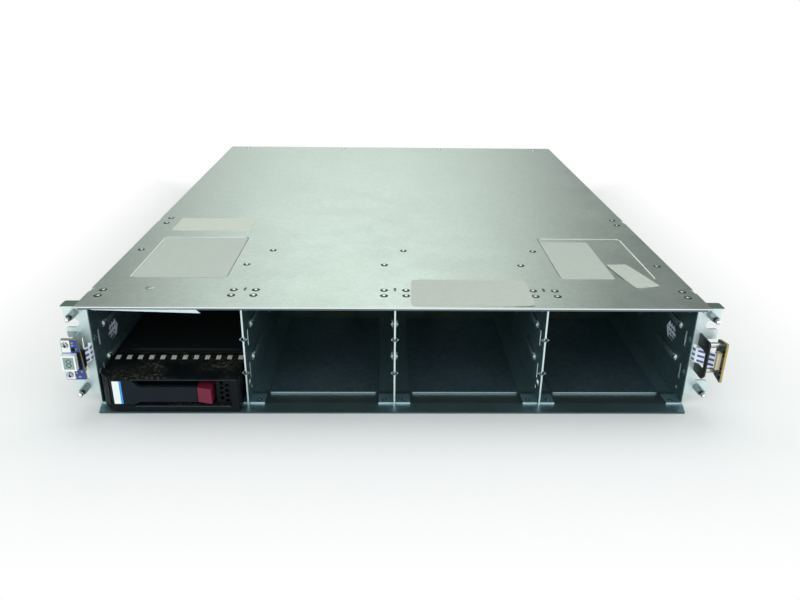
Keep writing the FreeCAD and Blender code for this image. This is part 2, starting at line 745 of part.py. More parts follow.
def drive_sockets():
    sockets = []
    for column in range(BAY_COLUMNS):
        for row in range(BAY_ROWS):
            x = bay_x(column)
            low = row_floor(row) + SOCKET_LIFT
            high = low + SOCKET_HEIGHT
            sockets.append(box(x - SOCKET_HALF, x + SOCKET_HALF, SOCKET_FRONT, MIDPLANE_FRONT, low, high))
    return sockets


def midplane_bulkhead():
    half = SKIN_IN - 0.1
    sheet = box(-half, half, BULKHEAD_FRONT, BULKHEAD_REAR, PAN_T, FLANGE_UNDER)
    rear = BULKHEAD_REAR + BULKHEAD_FOOT
    foot_flange = box(-half, half, BULKHEAD_FRONT, rear, PAN_T, PAN_T + BULKHEAD_T)
    return joined(sheet, foot_flange).cut(vent_cuts(BULKHEAD_FRONT, BULKHEAD_REAR))


PSU_INNER = PARTITION_X + PARTITION_T + MODULE_CLEAR
PSU_OUTER = SKIN_IN - MODULE_CLEAR
PSU_X = (PSU_INNER + PSU_OUTER) / 2
PSU_WIDTH = PSU_OUTER - PSU_INNER
PSU_LOW = PAN_T + MODULE_CLEAR
PSU_HIGH = FLANGE_UNDER - MODULE_CLEAR
IO_HALF = PARTITION_X - MODULE_CLEAR
IO_HEIGHT = SHELF_Z - SHELF_T / 2 - PAN_T - 2 * MODULE_CLEAR
PSU_SOCKET_HALF = 18.0
IO_SOCKET_HALF = 45.0
SOCKET_RISE = 5.0
CREST_WIDTH = 2.0
IO_LOWS = {"lower": PAN_T + MODULE_CLEAR, "upper": SHELF_Z + SHELF_T / 2 + MODULE_CLEAR}


def module_sockets():
    rear = MODULE_FRONT - MATE_CLEAR
    middle = (PSU_LOW + PSU_HIGH) / 2
    places = [(-PSU_X, middle, PSU_SOCKET_HALF), (PSU_X, middle, PSU_SOCKET_HALF)]
    places += [(0, low + IO_HEIGHT / 2, IO_SOCKET_HALF) for low in IO_LOWS.values()]
    blocks = []
    for x, z, half in places:
        blocks.append(box(x - half, x + half, BULKHEAD_REAR, rear, z - SOCKET_RISE, z + SOCKET_RISE))
    return blocks


def partition(side):
    """Wall between a power module and the I/O modules, its crest turned to the middle."""
    face = PARTITION_X + PARTITION_T
    front = BULKHEAD_REAR + BULKHEAD_FOOT + 1.0
    web = box(PARTITION_X, face, front, COVER_REAR, PAN_T, COVER_UNDER)
    crest = box(PARTITION_X - CREST_WIDTH, PARTITION_X, MODULE_FRONT, COVER_REAR, FLANGE_UNDER, COVER_UNDER)
    shape = joined(web, crest)
    return shape if side > 0 else mirrored(shape)


def io_shelf():
    half = SHELF_T / 2
    return box(-PARTITION_X, PARTITION_X, MODULE_FRONT, COVER_REAR - 2, SHELF_Z - half, SHELF_Z + half)


def module_shell(x0, x1, z0, z1):
    inner = MODULE_WALL
    outer = box(x0, x1, MODULE_FRONT, MODULE_REAR, z0, z1)
    hollow = box(x0 + inner, x1 - inner, MODULE_FRONT + inner, MODULE_REAR - inner, z0 + inner, z1 - inner)
    return outer.cut(hollow)


def hex_vents(x0, z0, columns, rows, flats, pitch):
    """Staggered hexagonal holes through a module's rear face."""
    cuts = []
    for row in range(rows):
        for column in range(columns):
            x = x0 + (column + 0.5 * (row % 2)) * pitch
            z = z0 + row * pitch * 0.87
            hole = polygon(x, z, flats / 2, 6)
            cuts.append(prism("xz", hole, MODULE_REAR - 2 * MODULE_WALL, MODULE_REAR))
    return cuts


CAM_LUG_T = 1.8
CAM_LUG_HALF = 3.8
CAM_GAP = 0.3


def cam_pivot(x, z):
    """Two lugs and the pin of a cam lever, on a module's rear face."""
    y = MODULE_REAR + CAM_PIVOT_OFFSET
    rear = y + CAM_LUG_HALF
    half = CAM_HEIGHT / 2 + CAM_GAP
    shapes = [rod(x, y, z - half, (0, 0, 1), 2 * half, CAM_PIN_RADIUS)]
    for low in (z - half - CAM_LUG_T, z + half):
        corners = [
            (x - CAM_LUG_HALF, MODULE_REAR),
            (x + CAM_LUG_HALF, MODULE_REAR),
            (x + CAM_LUG_HALF, y + 1.5),
            (x + CAM_LUG_HALF - 2.3, rear),
            (x - CAM_LUG_HALF + 2.3, rear),
            (x - CAM_LUG_HALF, y + 1.5),
        ]
        shapes.append(prism("xy", corners, low, low + CAM_LUG_T))
    return shapes


def cam_lever(x, z, side):
    """Lever folded against the rear face; side is the way it runs from its pivot."""
    y = MODULE_REAR + CAM_PIVOT_OFFSET
    front = y - CAM_T / 2
    rear = y + CAM_T / 2
    tip = x + side * CAM_LENGTH
    grip = tip - side * 16
    corners = [
        (x, front),
        (tip - side, front),
        (tip, front + 1),
        (tip, rear + 0.6),
        (tip - side, rear + 1.6),
        (grip, rear + 1.6),
        (grip - side * 8, rear),
        (x, rear),
    ]
    low = z - CAM_HEIGHT / 2
    high = z + CAM_HEIGHT / 2
    arm = prism("xy", corners, low, high)
    barrel = prism("xy", polygon(x, y, (CAM_PIVOT_OFFSET - 0.8) * 0.95, 10), low, high)
    bore = rod(x, y, low, (0, 0, 1), CAM_HEIGHT, CAM_PIN_RADIUS + PIN_CLEAR)
    return joined(arm, barrel).cut(bore)


CAM_INSET = 8.0
PSU_CAM_Z = PSU_LOW + 9.0
FAN_X = PSU_WIDTH * 0.2
FAN_Z = 50.0
FAN_RADIUS = PSU_WIDTH * 0.265
INLET_X = PSU_WIDTH * 0.286
INLET_Z = 46.0
INLET_WIDTH = 27.0
INLET_HEIGHT = 20.0
INLET_DEPTH = 18.0
GUARD_WIDTH = 1.4
PSU_VENT_X = 12.0
PSU_VENT_Z = 68.0
VENT_FLATS = 5.0
VENT_PITCH = 7.0


def psu_case(side):
    """Power module: shell, fan guard with the fan's shaft, inlet cut-out, vents and lever pivot."""
    x0, x1 = sorted((side * PSU_INNER, side * PSU_OUTER))
    shell = module_shell(x0, x1, PSU_LOW, PSU_HIGH)
    fan = PSU_X * side - FAN_X
    inlet = PSU_X * side + INLET_X
    face = MODULE_REAR - MODULE_WALL
    inlet_cut = box(inlet - INLET_WIDTH / 2, inlet + INLET_WIDTH / 2, face, MODULE_REAR,
                    INLET_Z - INLET_HEIGHT / 2, INLET_Z + INLET_HEIGHT / 2)
    cuts = [prism("xz", polygon(fan, FAN_Z, FAN_RADIUS, 24), face, MODULE_REAR), inlet_cut]
    cuts += hex_vents(inlet - PSU_VENT_X, PSU_VENT_Z, 4, 2, VENT_FLATS, VENT_PITCH)
    radius = FAN_RADIUS * 0.64
    ring = prism("xz", polygon(fan, FAN_Z, radius + GUARD_WIDTH, 16), face, MODULE_REAR)
    guard = [ring.cut(prism("xz", polygon(fan, FAN_Z, radius, 16), face, MODULE_REAR))]
    guard.append(prism("xz", polygon(fan, FAN_Z, FAN_HUB * 0.4, 10), face, MODULE_REAR))
    half = GUARD_WIDTH / 2
    reach = FAN_RADIUS + 1
    guard.append(box(fan - reach, fan + reach, face, MODULE_REAR, FAN_Z - half, FAN_Z + half))
    guard.append(box(fan - half, fan + half, face, MODULE_REAR, FAN_Z - reach, FAN_Z + reach))
    shaft = rod(fan, face - FAN_DEPTH - 4, FAN_Z, (0, 1, 0), FAN_DEPTH + 4, SHAFT_RADIUS)
    pivot_x = side * (PSU_OUTER - CAM_INSET)
    return joined(shell.cut(cuts), shaft, *guard, *cam_pivot(pivot_x, PSU_CAM_Z))


def psu_fan(side):
    x = PSU_X * side - FAN_X
    rear = MODULE_REAR - MODULE_WALL - 2.0
    front = rear - FAN_DEPTH
    hub = prism("xz", polygon(x, FAN_Z, FAN_HUB, 2 * FAN_BLADES), front, rear)
    blades = []
    length = FAN_RADIUS - 1.5
    for k in range(FAN_BLADES):
        blade = Part.makeBox(1.2, FAN_DEPTH, length, Vector(-0.6, -FAN_DEPTH / 2, 0))
        blade.rotate(Vector(0, 0, 0), Vector(0, 0, 1), 35)
        blade.rotate(Vector(0, 0, 0), Vector(0, 1, 0), 360 * k / FAN_BLADES)
        blade.translate(Vector(x, (front + rear) / 2, FAN_Z))
        blades.append(blade)
    bore = rod(x, front, FAN_Z, (0, 1, 0), FAN_DEPTH, SHAFT_RADIUS + PIN_CLEAR)
    return joined(hub, *blades).cut(bore)


def psu_inlet(side):
    """Mains inlet: a recessed socket with three flat pins."""
    x = PSU_X * side + INLET_X
    half = (INLET_WIDTH / 2 - 0.1, INLET_HEIGHT / 2 - 0.1)
    front = MODULE_REAR - INLET_DEPTH
    body = box(x - half[0], x + half[0], front, MODULE_REAR, INLET_Z - half[1], INLET_Z + half[1])
    frame = box(x - half[0] - 1.5, x + half[0] + 1.5, MODULE_REAR, MODULE_REAR + 1.5,
                INLET_Z - half[1] - 1.5, INLET_Z + half[1] + 1.5)
    well = [
        (x - 11.5, INLET_Z - 7.5, 1),
        (x + 11.5, INLET_Z - 7.5, 1),
        (x + 11.5, INLET_Z + 3.0),
        (x + 7.0, INLET_Z + 7.5),
        (x - 7.0, INLET_Z + 7.5),
        (x - 11.5, INLET_Z + 3.0),
    ]
    socket = joined(body, frame).cut(prism("xz", well, front + 1.5, MODULE_REAR + 1.5))
    pins = []
    for u, v in ((-7, -1), (0, 2.5), (7, -1)):
        z = INLET_Z + v
        pins.append(box(x + u - 1, x + u + 1, front + 1.5, MODULE_REAR - 4, z - 2, z + 2))
    return joined(socket, *pins)


PORT_SHARES = ((-0.53, 26.0, 10.0), (-0.24, 26.0, 10.0), (0.12, 16.0, 13.0), (0.325, 16.0, 13.0))
IO_PORTS = [(share * IO_HALF, width, height) for share, width, height in PORT_SHARES]
IO_VENT_X = IO_HALF * 0.5
IO_VENT_DROP = 5.0
PORT_Z = 22.0
PORT_WALL = 1.2
PORT_DEPTH = 16.0
IO_CAM_Z = 7.5


def io_case(name):
    low = IO_LOWS[name]
    shell = module_shell(-IO_HALF, IO_HALF, low, low + IO_HEIGHT)
    z = low + PORT_Z
    cuts = []
    for x, width, height in IO_PORTS:
        w = width / 2
        h = height / 2
        cuts.append(box(x - w, x + w, MODULE_REAR - MODULE_WALL, MODULE_REAR, z - h, z + h))
    cuts += hex_vents(IO_VENT_X, z - IO_VENT_DROP, 5, 2, VENT_FLATS, VENT_PITCH)
    pivots = []
    for side in (-1, 1):
        pivots += cam_pivot(side * (IO_HALF - CAM_INSET), low + IO_CAM_Z)
    return joined(shell.cut(cuts), *pivots)


def io_ports(name):
    """Cable port shells, each seated in its cut-out with its rim on the rear face."""
    z = IO_LOWS[name] + PORT_Z
    shells = []
    for x, width, height in IO_PORTS:
        w = width / 2 - 0.1
        h = height / 2 - 0.1
        front = MODULE_REAR - PORT_DEPTH
        body = box(x - w, x + w, front, MODULE_REAR, z - h, z + h)
        rim = box(x - w - 1, x + w + 1, MODULE_REAR, MODULE_REAR + 1, z - h - 1, z + h + 1)
        w -= PORT_WALL
        h -= PORT_WALL
        mouth = box(x - w, x + w, front + PORT_WALL, MODULE_REAR + 1, z - h, z + h)
        shells.append(joined(body, rim).cut(mouth))
    return shells


# Drive and carrier, in the bottom bay of the first column
DRIVE_X = bay_x(0)
BEZEL_HALF = BEZEL_WIDTH / 2
BEZEL_TOP = CARRIER_Z + BEZEL_HEIGHT
SHOULDER_IN = 1.0
SHOULDER_Y = 3.0
CORNER = 9.0
RECESS_LOW = CARRIER_Z + 4.4
RECESS_HIGH = BEZEL_TOP - 1.6
RECESS_FLOOR = BEZEL_FRONT + RECESS_DEPTH
RECESS_LEFT = DRIVE_X - BEZEL_HALF + 7.6
RECESS_RIGHT = DRIVE_X + BEZEL_HALF - 5.8
VENT_PANEL = 11.4
VENT_PANEL_SINK = 2.6
LEVER_Z = CARRIER_Z + 13.2
LEVER_FRONT = BEZEL_FRONT + 0.6
LEVER_PIN_X = RECESS_LEFT + LEVER_BARREL + LEVER_CLEAR + 0.3
LEVER_PIN_Y = LEVER_FRONT + LEVER_BARREL
LEVER_PANEL = 14.6
LEVER_FLARE = 4.5
BUTTON_INSET = 25.0
BUTTON_X = DRIVE_X + BEZEL_HALF - BUTTON_INSET
BUTTON_Z = LEVER_Z + 0.6
BUTTON_REAR = RECESS_FLOOR + BEZEL_WALL + 1.0
BUTTON_PROUD = 0.4
BUTTON_WEDGE = 3.0
NECK_HALF = DRIVE_WIDTH / 2 - 0.2
NECK_TOP = BEZEL_TOP - 1.2
VENT_HOLE_RADIUS = 1.5
PIN_SEAT = 1.0
PIN_LENGTH = RECESS_HIGH - RECESS_LOW + 2 * PIN_SEAT
SEAT_CLEAR = 0.01


def carrier_bezel():
    """Moulded front: a shouldered block with a deep recess for lever and button, and a neck behind it."""
    x = DRIVE_X
    left = x - BEZEL_HALF
    right = x + BEZEL_HALF
    plan = [
        (left + SHOULDER_IN, BEZEL_REAR),
        (left + SHOULDER_IN, SHOULDER_Y),
        (left, SHOULDER_Y - 1),
        (left, BEZEL_FRONT + CORNER, 5),
        (left + CORNER, BEZEL_FRONT, 7),
        (right, BEZEL_FRONT, 1.5),
        (right, SHOULDER_Y - 1),
        (right - SHOULDER_IN, SHOULDER_Y),
        (right - SHOULDER_IN, BEZEL_REAR),
    ]
    block = prism("xy", plan, CARRIER_Z, BEZEL_TOP)
    neck = box(x - NECK_HALF, x + NECK_HALF, BEZEL_REAR, NECK_REAR, CARRIER_Z + 1.5, NECK_TOP)
    inner = NECK_HALF - BEZEL_WALL
    back = RECESS_FLOOR + BEZEL_WALL
    hollow = box(x - inner, x + inner, back, NECK_REAR, CARRIER_Z + 3.5, NECK_TOP - BEZEL_WALL)
    step = RECESS_RIGHT - VENT_PANEL
    cuts = [hollow, box(RECESS_LEFT, step, BEZEL_FRONT, RECESS_FLOOR, RECESS_LOW, RECESS_HIGH)]
    sunk = BEZEL_FRONT + VENT_PANEL_SINK
    cuts.append(box(step, RECESS_RIGHT, BEZEL_FRONT, sunk, RECESS_LOW, RECESS_HIGH))
    w = BUTTON_WIDTH / 2 + BUTTON_CLEAR
    h = BUTTON_HEIGHT / 2 + BUTTON_CLEAR
    cuts.append(box(BUTTON_X - w, BUTTON_X + w, RECESS_FLOOR, back, BUTTON_Z - h, BUTTON_Z + h))
    pin_foot = RECESS_LOW - PIN_SEAT
    cuts.append(rod(LEVER_PIN_X, LEVER_PIN_Y, pin_foot, (0, 0, 1), PIN_LENGTH, PIN_RADIUS + SEAT_CLEAR))
    for k in range(8):
        u = step + 4.2 + 3.8 * (k % 2)
        v = RECESS_HIGH - 3.4 - 2.1 * k
        cuts.append(prism("xz", polygon(u, v, VENT_HOLE_RADIUS, 8), sunk, back))
    slope = [(BEZEL_FRONT, BEZEL_TOP - 0.6), (BEZEL_FRONT + 2.5, BEZEL_TOP), (BEZEL_FRONT, BEZEL_TOP)]
    cuts.append(prism("yz", slope, left, right))
    return joined(block, neck).cut(cuts)


FRAME_TOP = CARRIER_Z + 21.0
FRAME_LIFT = 1.5
FRAME_GAP = 0.4
RAIL_GAP = 0.3
FRAME_WINDOW = 12.8
RUNNER_HEIGHT = 3.6
RUNNER_LEAD = 4.0
RAIL_END = 3.0
FRONT_SCREW = 130.1
REAR_SCREW = 28.5
SCREW_PLACES = (DRIVE_REAR - FRONT_SCREW, DRIVE_REAR - REAR_SCREW)
SCREW_Z = CARRIER_Z + 7.0
SCREW_HEAD = 2.8
SCREW_CLEAR = 0.05


def carrier_frame():
    """Two side rails with runners, joined by a windowed plate behind the neck."""
    x = DRIVE_X
    inner = DRIVE_WIDTH / 2 + RAIL_GAP
    outer = inner + RAIL_T
    rear = DRIVE_REAR - RAIL_END
    plate_rear = DRIVE_FRONT - FRAME_GAP
    plate = box(x - outer, x + outer, NECK_REAR, plate_rear, CARRIER_Z + FRAME_LIFT, FRAME_TOP)
    half = DRIVE_WIDTH / 2 - FRAME_WINDOW
    window = box(x - half, x + half, NECK_REAR, plate_rear, CARRIER_Z + 5, FRAME_TOP - 4)
    pieces = []
    holes = []
    for side in (-1, 1):
        reach = sorted((x + side * inner, x + side * outer))
        pieces.append(box(*reach, NECK_REAR, rear, CARRIER_Z + 0.5, FRAME_TOP))
        runner = sorted((x + side * inner, x + side * RUNNER_REACH))
        pieces.append(box(*runner, NECK_REAR + RUNNER_LEAD, rear, CARRIER_Z, CARRIER_Z + RUNNER_HEIGHT))
        for y in SCREW_PLACES:
            holes.append(prism("yz", polygon(y, SCREW_Z, SCREW_HEAD + SCREW_CLEAR, 8), *reach))
    return joined(plate.cut(window), *pieces).cut(holes)


def drive_screws():
    screws = []
    low = DRIVE_WIDTH / 2
    high = low + RAIL_GAP + RAIL_T
    for side in (-1, 1):
        for y in SCREW_PLACES:
            reach = sorted((DRIVE_X + side * low, DRIVE_X + side * high))
            screws.append(prism("yz", polygon(y, SCREW_Z, SCREW_HEAD, 8), *reach))
    return screws


PLUG_SINK = 6.0
LID_RISE = 1.2
LID_MARGIN = 4.0
LID_CUT_X = 24.0
LID_CUT_Y = 22.0
LID_RADIUS = 6.0


def disk_drive():
    """Cast drive body: raised lid on top, connector notch at the rear."""
    x = DRIVE_X
    half = DRIVE_WIDTH / 2
    low = CARRIER_Z + 0.3
    high = low + DRIVE_HEIGHT
    body = box(x - half, x + half, DRIVE_FRONT, DRIVE_REAR, low, high - LID_RISE)
    left = x - half + LID_MARGIN
    right = x + half - LID_MARGIN
    front = DRIVE_FRONT + LID_MARGIN
    rear = DRIVE_REAR - LID_MARGIN
    lid = [
        (left, front, LID_RADIUS),
        (right, front, LID_RADIUS),
        (right, DRIVE_REAR - LID_CUT_Y, LID_RADIUS),
        (x + half - LID_CUT_X, rear, LID_RADIUS),
        (left, rear, LID_RADIUS),
    ]
    low = row_floor(0) + SOCKET_LIFT
    notch = box(x - SOCKET_HALF - 1, x + SOCKET_HALF + 1, DRIVE_REAR - PLUG_SINK, DRIVE_REAR,
                low - 0.5, low + SOCKET_HEIGHT + 0.5)
    return joined(body, prism("xy", lid, high - LID_RISE, high)).cut(notch)


def drive_plug():
    x = DRIVE_X
    half = SOCKET_HALF
    low = row_floor(0) + SOCKET_LIFT
    plug = box(x - half, x + half, DRIVE_REAR - PLUG_SINK, PLUG_REAR, low, low + SOCKET_HEIGHT)
    key = box(x - half + 1, x + half - 1, DRIVE_REAR - PLUG_SINK / 2, PLUG_REAR, low + 3, low + 5)
    return plug.cut(key)


FINGER_SETBACK = 9.0


def spring_fingers():
    """Comb of contact fingers on the neck's top."""
    strip_y = BEZEL_REAR + FINGER_SETBACK
    half = NECK_HALF - 1.0
    strip = box(DRIVE_X - half, DRIVE_X + half, strip_y, strip_y + 3, NECK_TOP, NECK_TOP + 0.3)
    fingers = []
    first = DRIVE_X - half + FINGER_WIDTH / 2 + 0.5
    pitch = 2 * (DRIVE_X - first) / (FINGER_COUNT - 1)
    for k in range(FINGER_COUNT):
        x = first + k * pitch
        bow = [
            (strip_y + 3, NECK_TOP),
            (strip_y + 3, NECK_TOP + 0.3),
            (strip_y - 2, NECK_TOP + 1.1),
            (strip_y - 6, NECK_TOP + 0.3),
            (strip_y - 6, NECK_TOP),
            (strip_y - 2, NECK_TOP + 0.8),
        ]
        fingers.append(prism("yz", bow, x - FINGER_WIDTH / 2, x + FINGER_WIDTH / 2))
    return joined(strip, *fingers)


def lever_pin():
    return rod(LEVER_PIN_X, LEVER_PIN_Y, RECESS_LOW - PIN_SEAT, (0, 0, 1), PIN_LENGTH, PIN_RADIUS)


def eject_lever():
    """Swings out about its pin at the left: a tall label panel that flares down into the arm."""
    front = LEVER_FRONT
    rear = front + LEVER_T
    low = LEVER_Z - LEVER_HEIGHT / 2
    high = LEVER_Z + LEVER_HEIGHT / 2
    end = BUTTON_X - BUTTON_WIDTH / 2 - LEVER_END_CLEAR
    panel_low = RECESS_LOW + LEVER_CLEAR
    panel_high = RECESS_HIGH - LEVER_CLEAR
    panel_end = LEVER_PIN_X + LEVER_PANEL
    face = [
        (LEVER_PIN_X, panel_low),
        (panel_end, panel_low, 1),
        (panel_end + LEVER_FLARE, low, 4),
        (end, low, 0.8),
        (end, high, 0.8),
        (panel_end + LEVER_FLARE, high, 4),
        (panel_end, panel_high, 1),
        (LEVER_PIN_X, panel_high),
    ]
    arm = prism("xz", face, front, rear)
    barrel = prism("xy", polygon(LEVER_PIN_X, LEVER_PIN_Y, LEVER_BARREL, 12), panel_low, panel_high)
    length = panel_high - panel_low
    bore = rod(LEVER_PIN_X, LEVER_PIN_Y, panel_low, (0, 0, 1), length, PIN_RADIUS + PIN_CLEAR)
    return joined(arm, barrel).cut(bore)


def release_button():
    """Wedge that stands out most at its right edge."""
    front = BEZEL_FRONT - BUTTON_PROUD
    w = BUTTON_WIDTH / 2
    h = BUTTON_HEIGHT / 2
    plan = [
        (BUTTON_X - w, BUTTON_REAR),
        (BUTTON_X - w, front, 0.6),
        (BUTTON_X + w, front - BUTTON_WEDGE, 0.8),
        (BUTTON_X + w, BUTTON_REAR),
    ]
    return prism("xy", plan, BUTTON_Z - h, BUTTON_Z + h)


os.makedirs("parts", exist_ok=True)

save("chassis_tub", chassis_tub())
save("top_cover", top_cover())
save("cover_rivets", *cover_rivets())
save("right_ear_wall", right_ear_wall())
save("left_ear_wall", mirrored(right_ear_wall()))
for index, name in enumerate(("left", "centre", "right")):
    save(name + "_bay_divider", bay_divider(index))
save("bay_floor_plates", *bay_floor_plates())
save("ear_ball_studs", *[ball_stud(s * STUD_X, z) for s in (-1, 1) for z in (STUD_LOW_Z, STUD_HIGH_Z)])
save("display_bracket", display_bracket())
save("display_board", display_board())
save("digit_display", digit_display())
save("display_board_screws", *display_board_screws())
save("display_cable_socket", display_cable_socket())
save("left_ribbon_cable", left_ribbon_cable())
save("led_bracket", led_bracket())
save("led_board", led_board())
save("led_board_standoffs", *led_board_standoffs())
save("led_cable_socket", led_cable_socket())
save("right_ribbon_cable", right_ribbon_cable())
save("midplane_board", midplane_board())
save("drive_sockets", *drive_sockets())
save("midplane_bulkhead", midplane_bulkhead())
save("module_sockets", *module_sockets())
save("io_shelf", io_shelf())
for side, name in ((-1, "left"), (1, "right")):
    save(name + "_partition", partition(side))
    save(name + "_psu_case", psu_case(side))
    save(name + "_psu_fan", psu_fan(side))
    save(name + "_psu_inlet", psu_inlet(side))
    save(name + "_psu_lever", cam_lever(side * (PSU_OUTER - CAM_INSET), PSU_CAM_Z, -side))
for name in IO_LOWS:
    save(name + "_io_case", io_case(name))
    save(name + "_io_ports", *io_ports(name))
    for side, hand in ((-1, "left"), (1, "right")):
        lever = cam_lever(side * (IO_HALF - CAM_INSET), IO_LOWS[name] + IO_CAM_Z, -side)
        save("%s_io_%s_lever" % (name, hand), lever)
save("carrier_bezel", carrier_bezel())
save("carrier_frame", carrier_frame())
save("disk_drive", disk_drive())
save("drive_plug", drive_plug())
save("drive_screws", *drive_screws())
save("spring_fingers", spring_fingers())
save("lever_pin", lever_pin())
save("eject_lever", eject_lever())
save("release_button", release_button())
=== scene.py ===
# %% [markdown]
# # A rack disk enclosure
# The object is a two-unit rack enclosure for disk drives: a folded box of galvanised steel, open at the
# front, with one drive carrier pushed home at the lower left. The solids come from CAD and stay where they
# are. This lesson gives each of them a finish, and adds what is too thin or too small for the solids:
# rivet heads, labels, contacts, lamps and display segments.

# %% Load the frame
import json
import math
from collections import namedtuple

import bmesh
import bpy
from mathutils import Matrix, Vector


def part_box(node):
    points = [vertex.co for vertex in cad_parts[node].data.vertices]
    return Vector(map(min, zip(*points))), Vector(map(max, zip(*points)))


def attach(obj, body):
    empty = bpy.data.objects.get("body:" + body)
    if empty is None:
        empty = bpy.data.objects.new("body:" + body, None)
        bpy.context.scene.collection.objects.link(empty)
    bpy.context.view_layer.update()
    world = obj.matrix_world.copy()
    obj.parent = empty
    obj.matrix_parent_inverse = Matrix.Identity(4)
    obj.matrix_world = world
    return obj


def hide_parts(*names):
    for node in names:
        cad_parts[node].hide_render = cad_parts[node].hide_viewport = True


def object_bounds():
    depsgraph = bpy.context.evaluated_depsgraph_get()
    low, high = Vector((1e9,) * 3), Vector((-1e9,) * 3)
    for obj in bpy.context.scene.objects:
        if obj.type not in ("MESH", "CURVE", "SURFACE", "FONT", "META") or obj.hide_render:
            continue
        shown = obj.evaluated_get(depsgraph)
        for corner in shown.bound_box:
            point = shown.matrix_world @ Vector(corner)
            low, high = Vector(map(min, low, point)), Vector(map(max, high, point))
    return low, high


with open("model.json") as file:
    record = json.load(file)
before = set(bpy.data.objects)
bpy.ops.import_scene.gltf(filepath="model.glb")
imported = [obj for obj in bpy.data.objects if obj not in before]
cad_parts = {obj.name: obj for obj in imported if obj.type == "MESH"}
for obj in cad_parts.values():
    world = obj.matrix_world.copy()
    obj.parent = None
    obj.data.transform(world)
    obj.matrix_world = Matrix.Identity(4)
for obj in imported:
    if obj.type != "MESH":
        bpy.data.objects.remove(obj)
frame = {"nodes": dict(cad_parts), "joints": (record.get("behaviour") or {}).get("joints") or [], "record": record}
cad_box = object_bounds()
nodes = frame["nodes"]
slot_of = {part["node"]: part["material_slot"] for part in frame["record"]["subparts"]}
MM = 0.001
print(len(nodes), "solids loaded, box", cad_box)


# %% [markdown]
# ## Small helpers
# Colours are written as sRGB hex, as a paint chart gives them, and turned to linear light once. One function
# adds a node with its settings and links, for shader trees and geometry trees alike. A chain of nodes is
# written as a recipe, line by line, because it is hard to read in any other way.

# %% Colour and nodes
def linear(code, alpha=1.0):
    """An sRGB hex colour as linear red, green, blue and alpha."""
    channels = [int(code[i:i + 2], 16) / 255 for i in (1, 3, 5)]
    light = [c / 12.92 if c <= 0.04045 else ((c + 0.055) / 1.055) ** 2.4 for c in channels]
    return (*light, alpha)


def feed(tree, node, links):
    """Give inputs of a node a value, or join them to a socket or to another node's first output."""
    for name, value in links.items():
        if isinstance(value, bpy.types.Node):
            value = next(socket for socket in value.outputs if not socket.is_unavailable)
        if isinstance(value, bpy.types.NodeSocket):
            tree.links.new(value, node.inputs[name])
        else:
            node.inputs[name].default_value = value
    return node


def add(tree, kind, links=None, **settings):
    """Add a node; settings are its properties, links feed its inputs."""
    made = tree.nodes.new(kind)
    for name, value in settings.items():
        setattr(made, name, value)
    return feed(tree, made, links or {})


RECIPE_WORDS = {  # any other word in a recipe is the operation of a Math node
    "RAMP": ("ShaderNodeMapRange", ("Value", "From Min", "From Max", "To Min", "To Max")),
    "NOISE": ("ShaderNodeTexNoise", ("Vector", "Scale", "Detail", "Roughness")),
    "BUMP": ("ShaderNodeBump", ("Height", "Strength", "Distance")),
}


def work_out(tree, recipe, **known):
    """Follow a recipe: each line is a name, a word, and numbers or names that are already known."""
    for name, word, *values in recipe:
        values = [known[value] if isinstance(value, str) else value for value in values]
        if word in RECIPE_WORDS:
            kind, inputs = RECIPE_WORDS[word]
            known[name] = add(tree, kind, dict(zip(inputs, values)))
        else:
            known[name] = add(tree, "ShaderNodeMath", dict(enumerate(values)), operation=word)
    return known


def per_mm(size):
    """Texture scale at which one feature is about this many millimetres across."""
    return 1000 / size


print("helpers ready; a 6 mm pattern has scale %.1f" % per_mm(6))


# %% [markdown]
# ## How a finish is built up
# Most real surfaces have one grain that changes their tone, their gloss and their relief together: dents on
# plated steel, grit on a casting, fibre in paper. One function gives that. Other colours, such as dust or a
# bare edge, are then laid over it through a mask.

# %% Finishes
Finish = namedtuple("Finish", "material tree shader place tone")
GRAIN_DEPTH = 0.1 * MM


def new_finish(name, **surface):
    """A material with one Principled shader; values that are the same all over go on its own sockets."""
    material = bpy.data.materials.new(name)
    material.use_nodes = True
    tree = material.node_tree
    shader = tree.nodes["Principled BSDF"]
    feed(tree, shader, {socket.replace("_", " "): value for socket, value in surface.items()})
    place = add(tree, "ShaderNodeTexCoord").outputs["Object"]
    return Finish(material, tree, shader, place, None)


def overlaid(finish, mask, colour):
    """Lay a colour over a finish where the mask is 1."""
    tone = add(finish.tree, "ShaderNodeMix", {"Factor": mask, "A": finish.tone, "B": linear(colour)},
               data_type="RGBA")
    feed(finish.tree, finish.shader, {"Base Color": tone})
    return finish._replace(tone=tone)


def masks(finish, recipe, **known):
    """Follow a recipe on a finish; lines named Roughness or Normal go to its shader.

    It can read a point's place, also as x, y and z, and where its face looks, as face x, face y and face z.
    """
    tree, asked = finish.tree, {value for line in recipe for value in line}
    vectors = {"": finish.place}
    if asked & {"face x", "face y", "face z"}:
        vectors["face "] = add(tree, "ShaderNodeNewGeometry").outputs["Normal"]
    for word, vector in vectors.items():
        names = {word + axis.lower(): axis for axis in "XYZ"}
        if asked & names.keys():
            parts = add(tree, "ShaderNodeSeparateXYZ", {0: vector}).outputs
            known.update({name: parts[axis] for name, axis in names.items()})
    made = work_out(tree, recipe, place=finish.place, **known)
    feed(tree, finish.shader, {name: made[name] for name in ("Roughness", "Normal") if name in made})
    return made


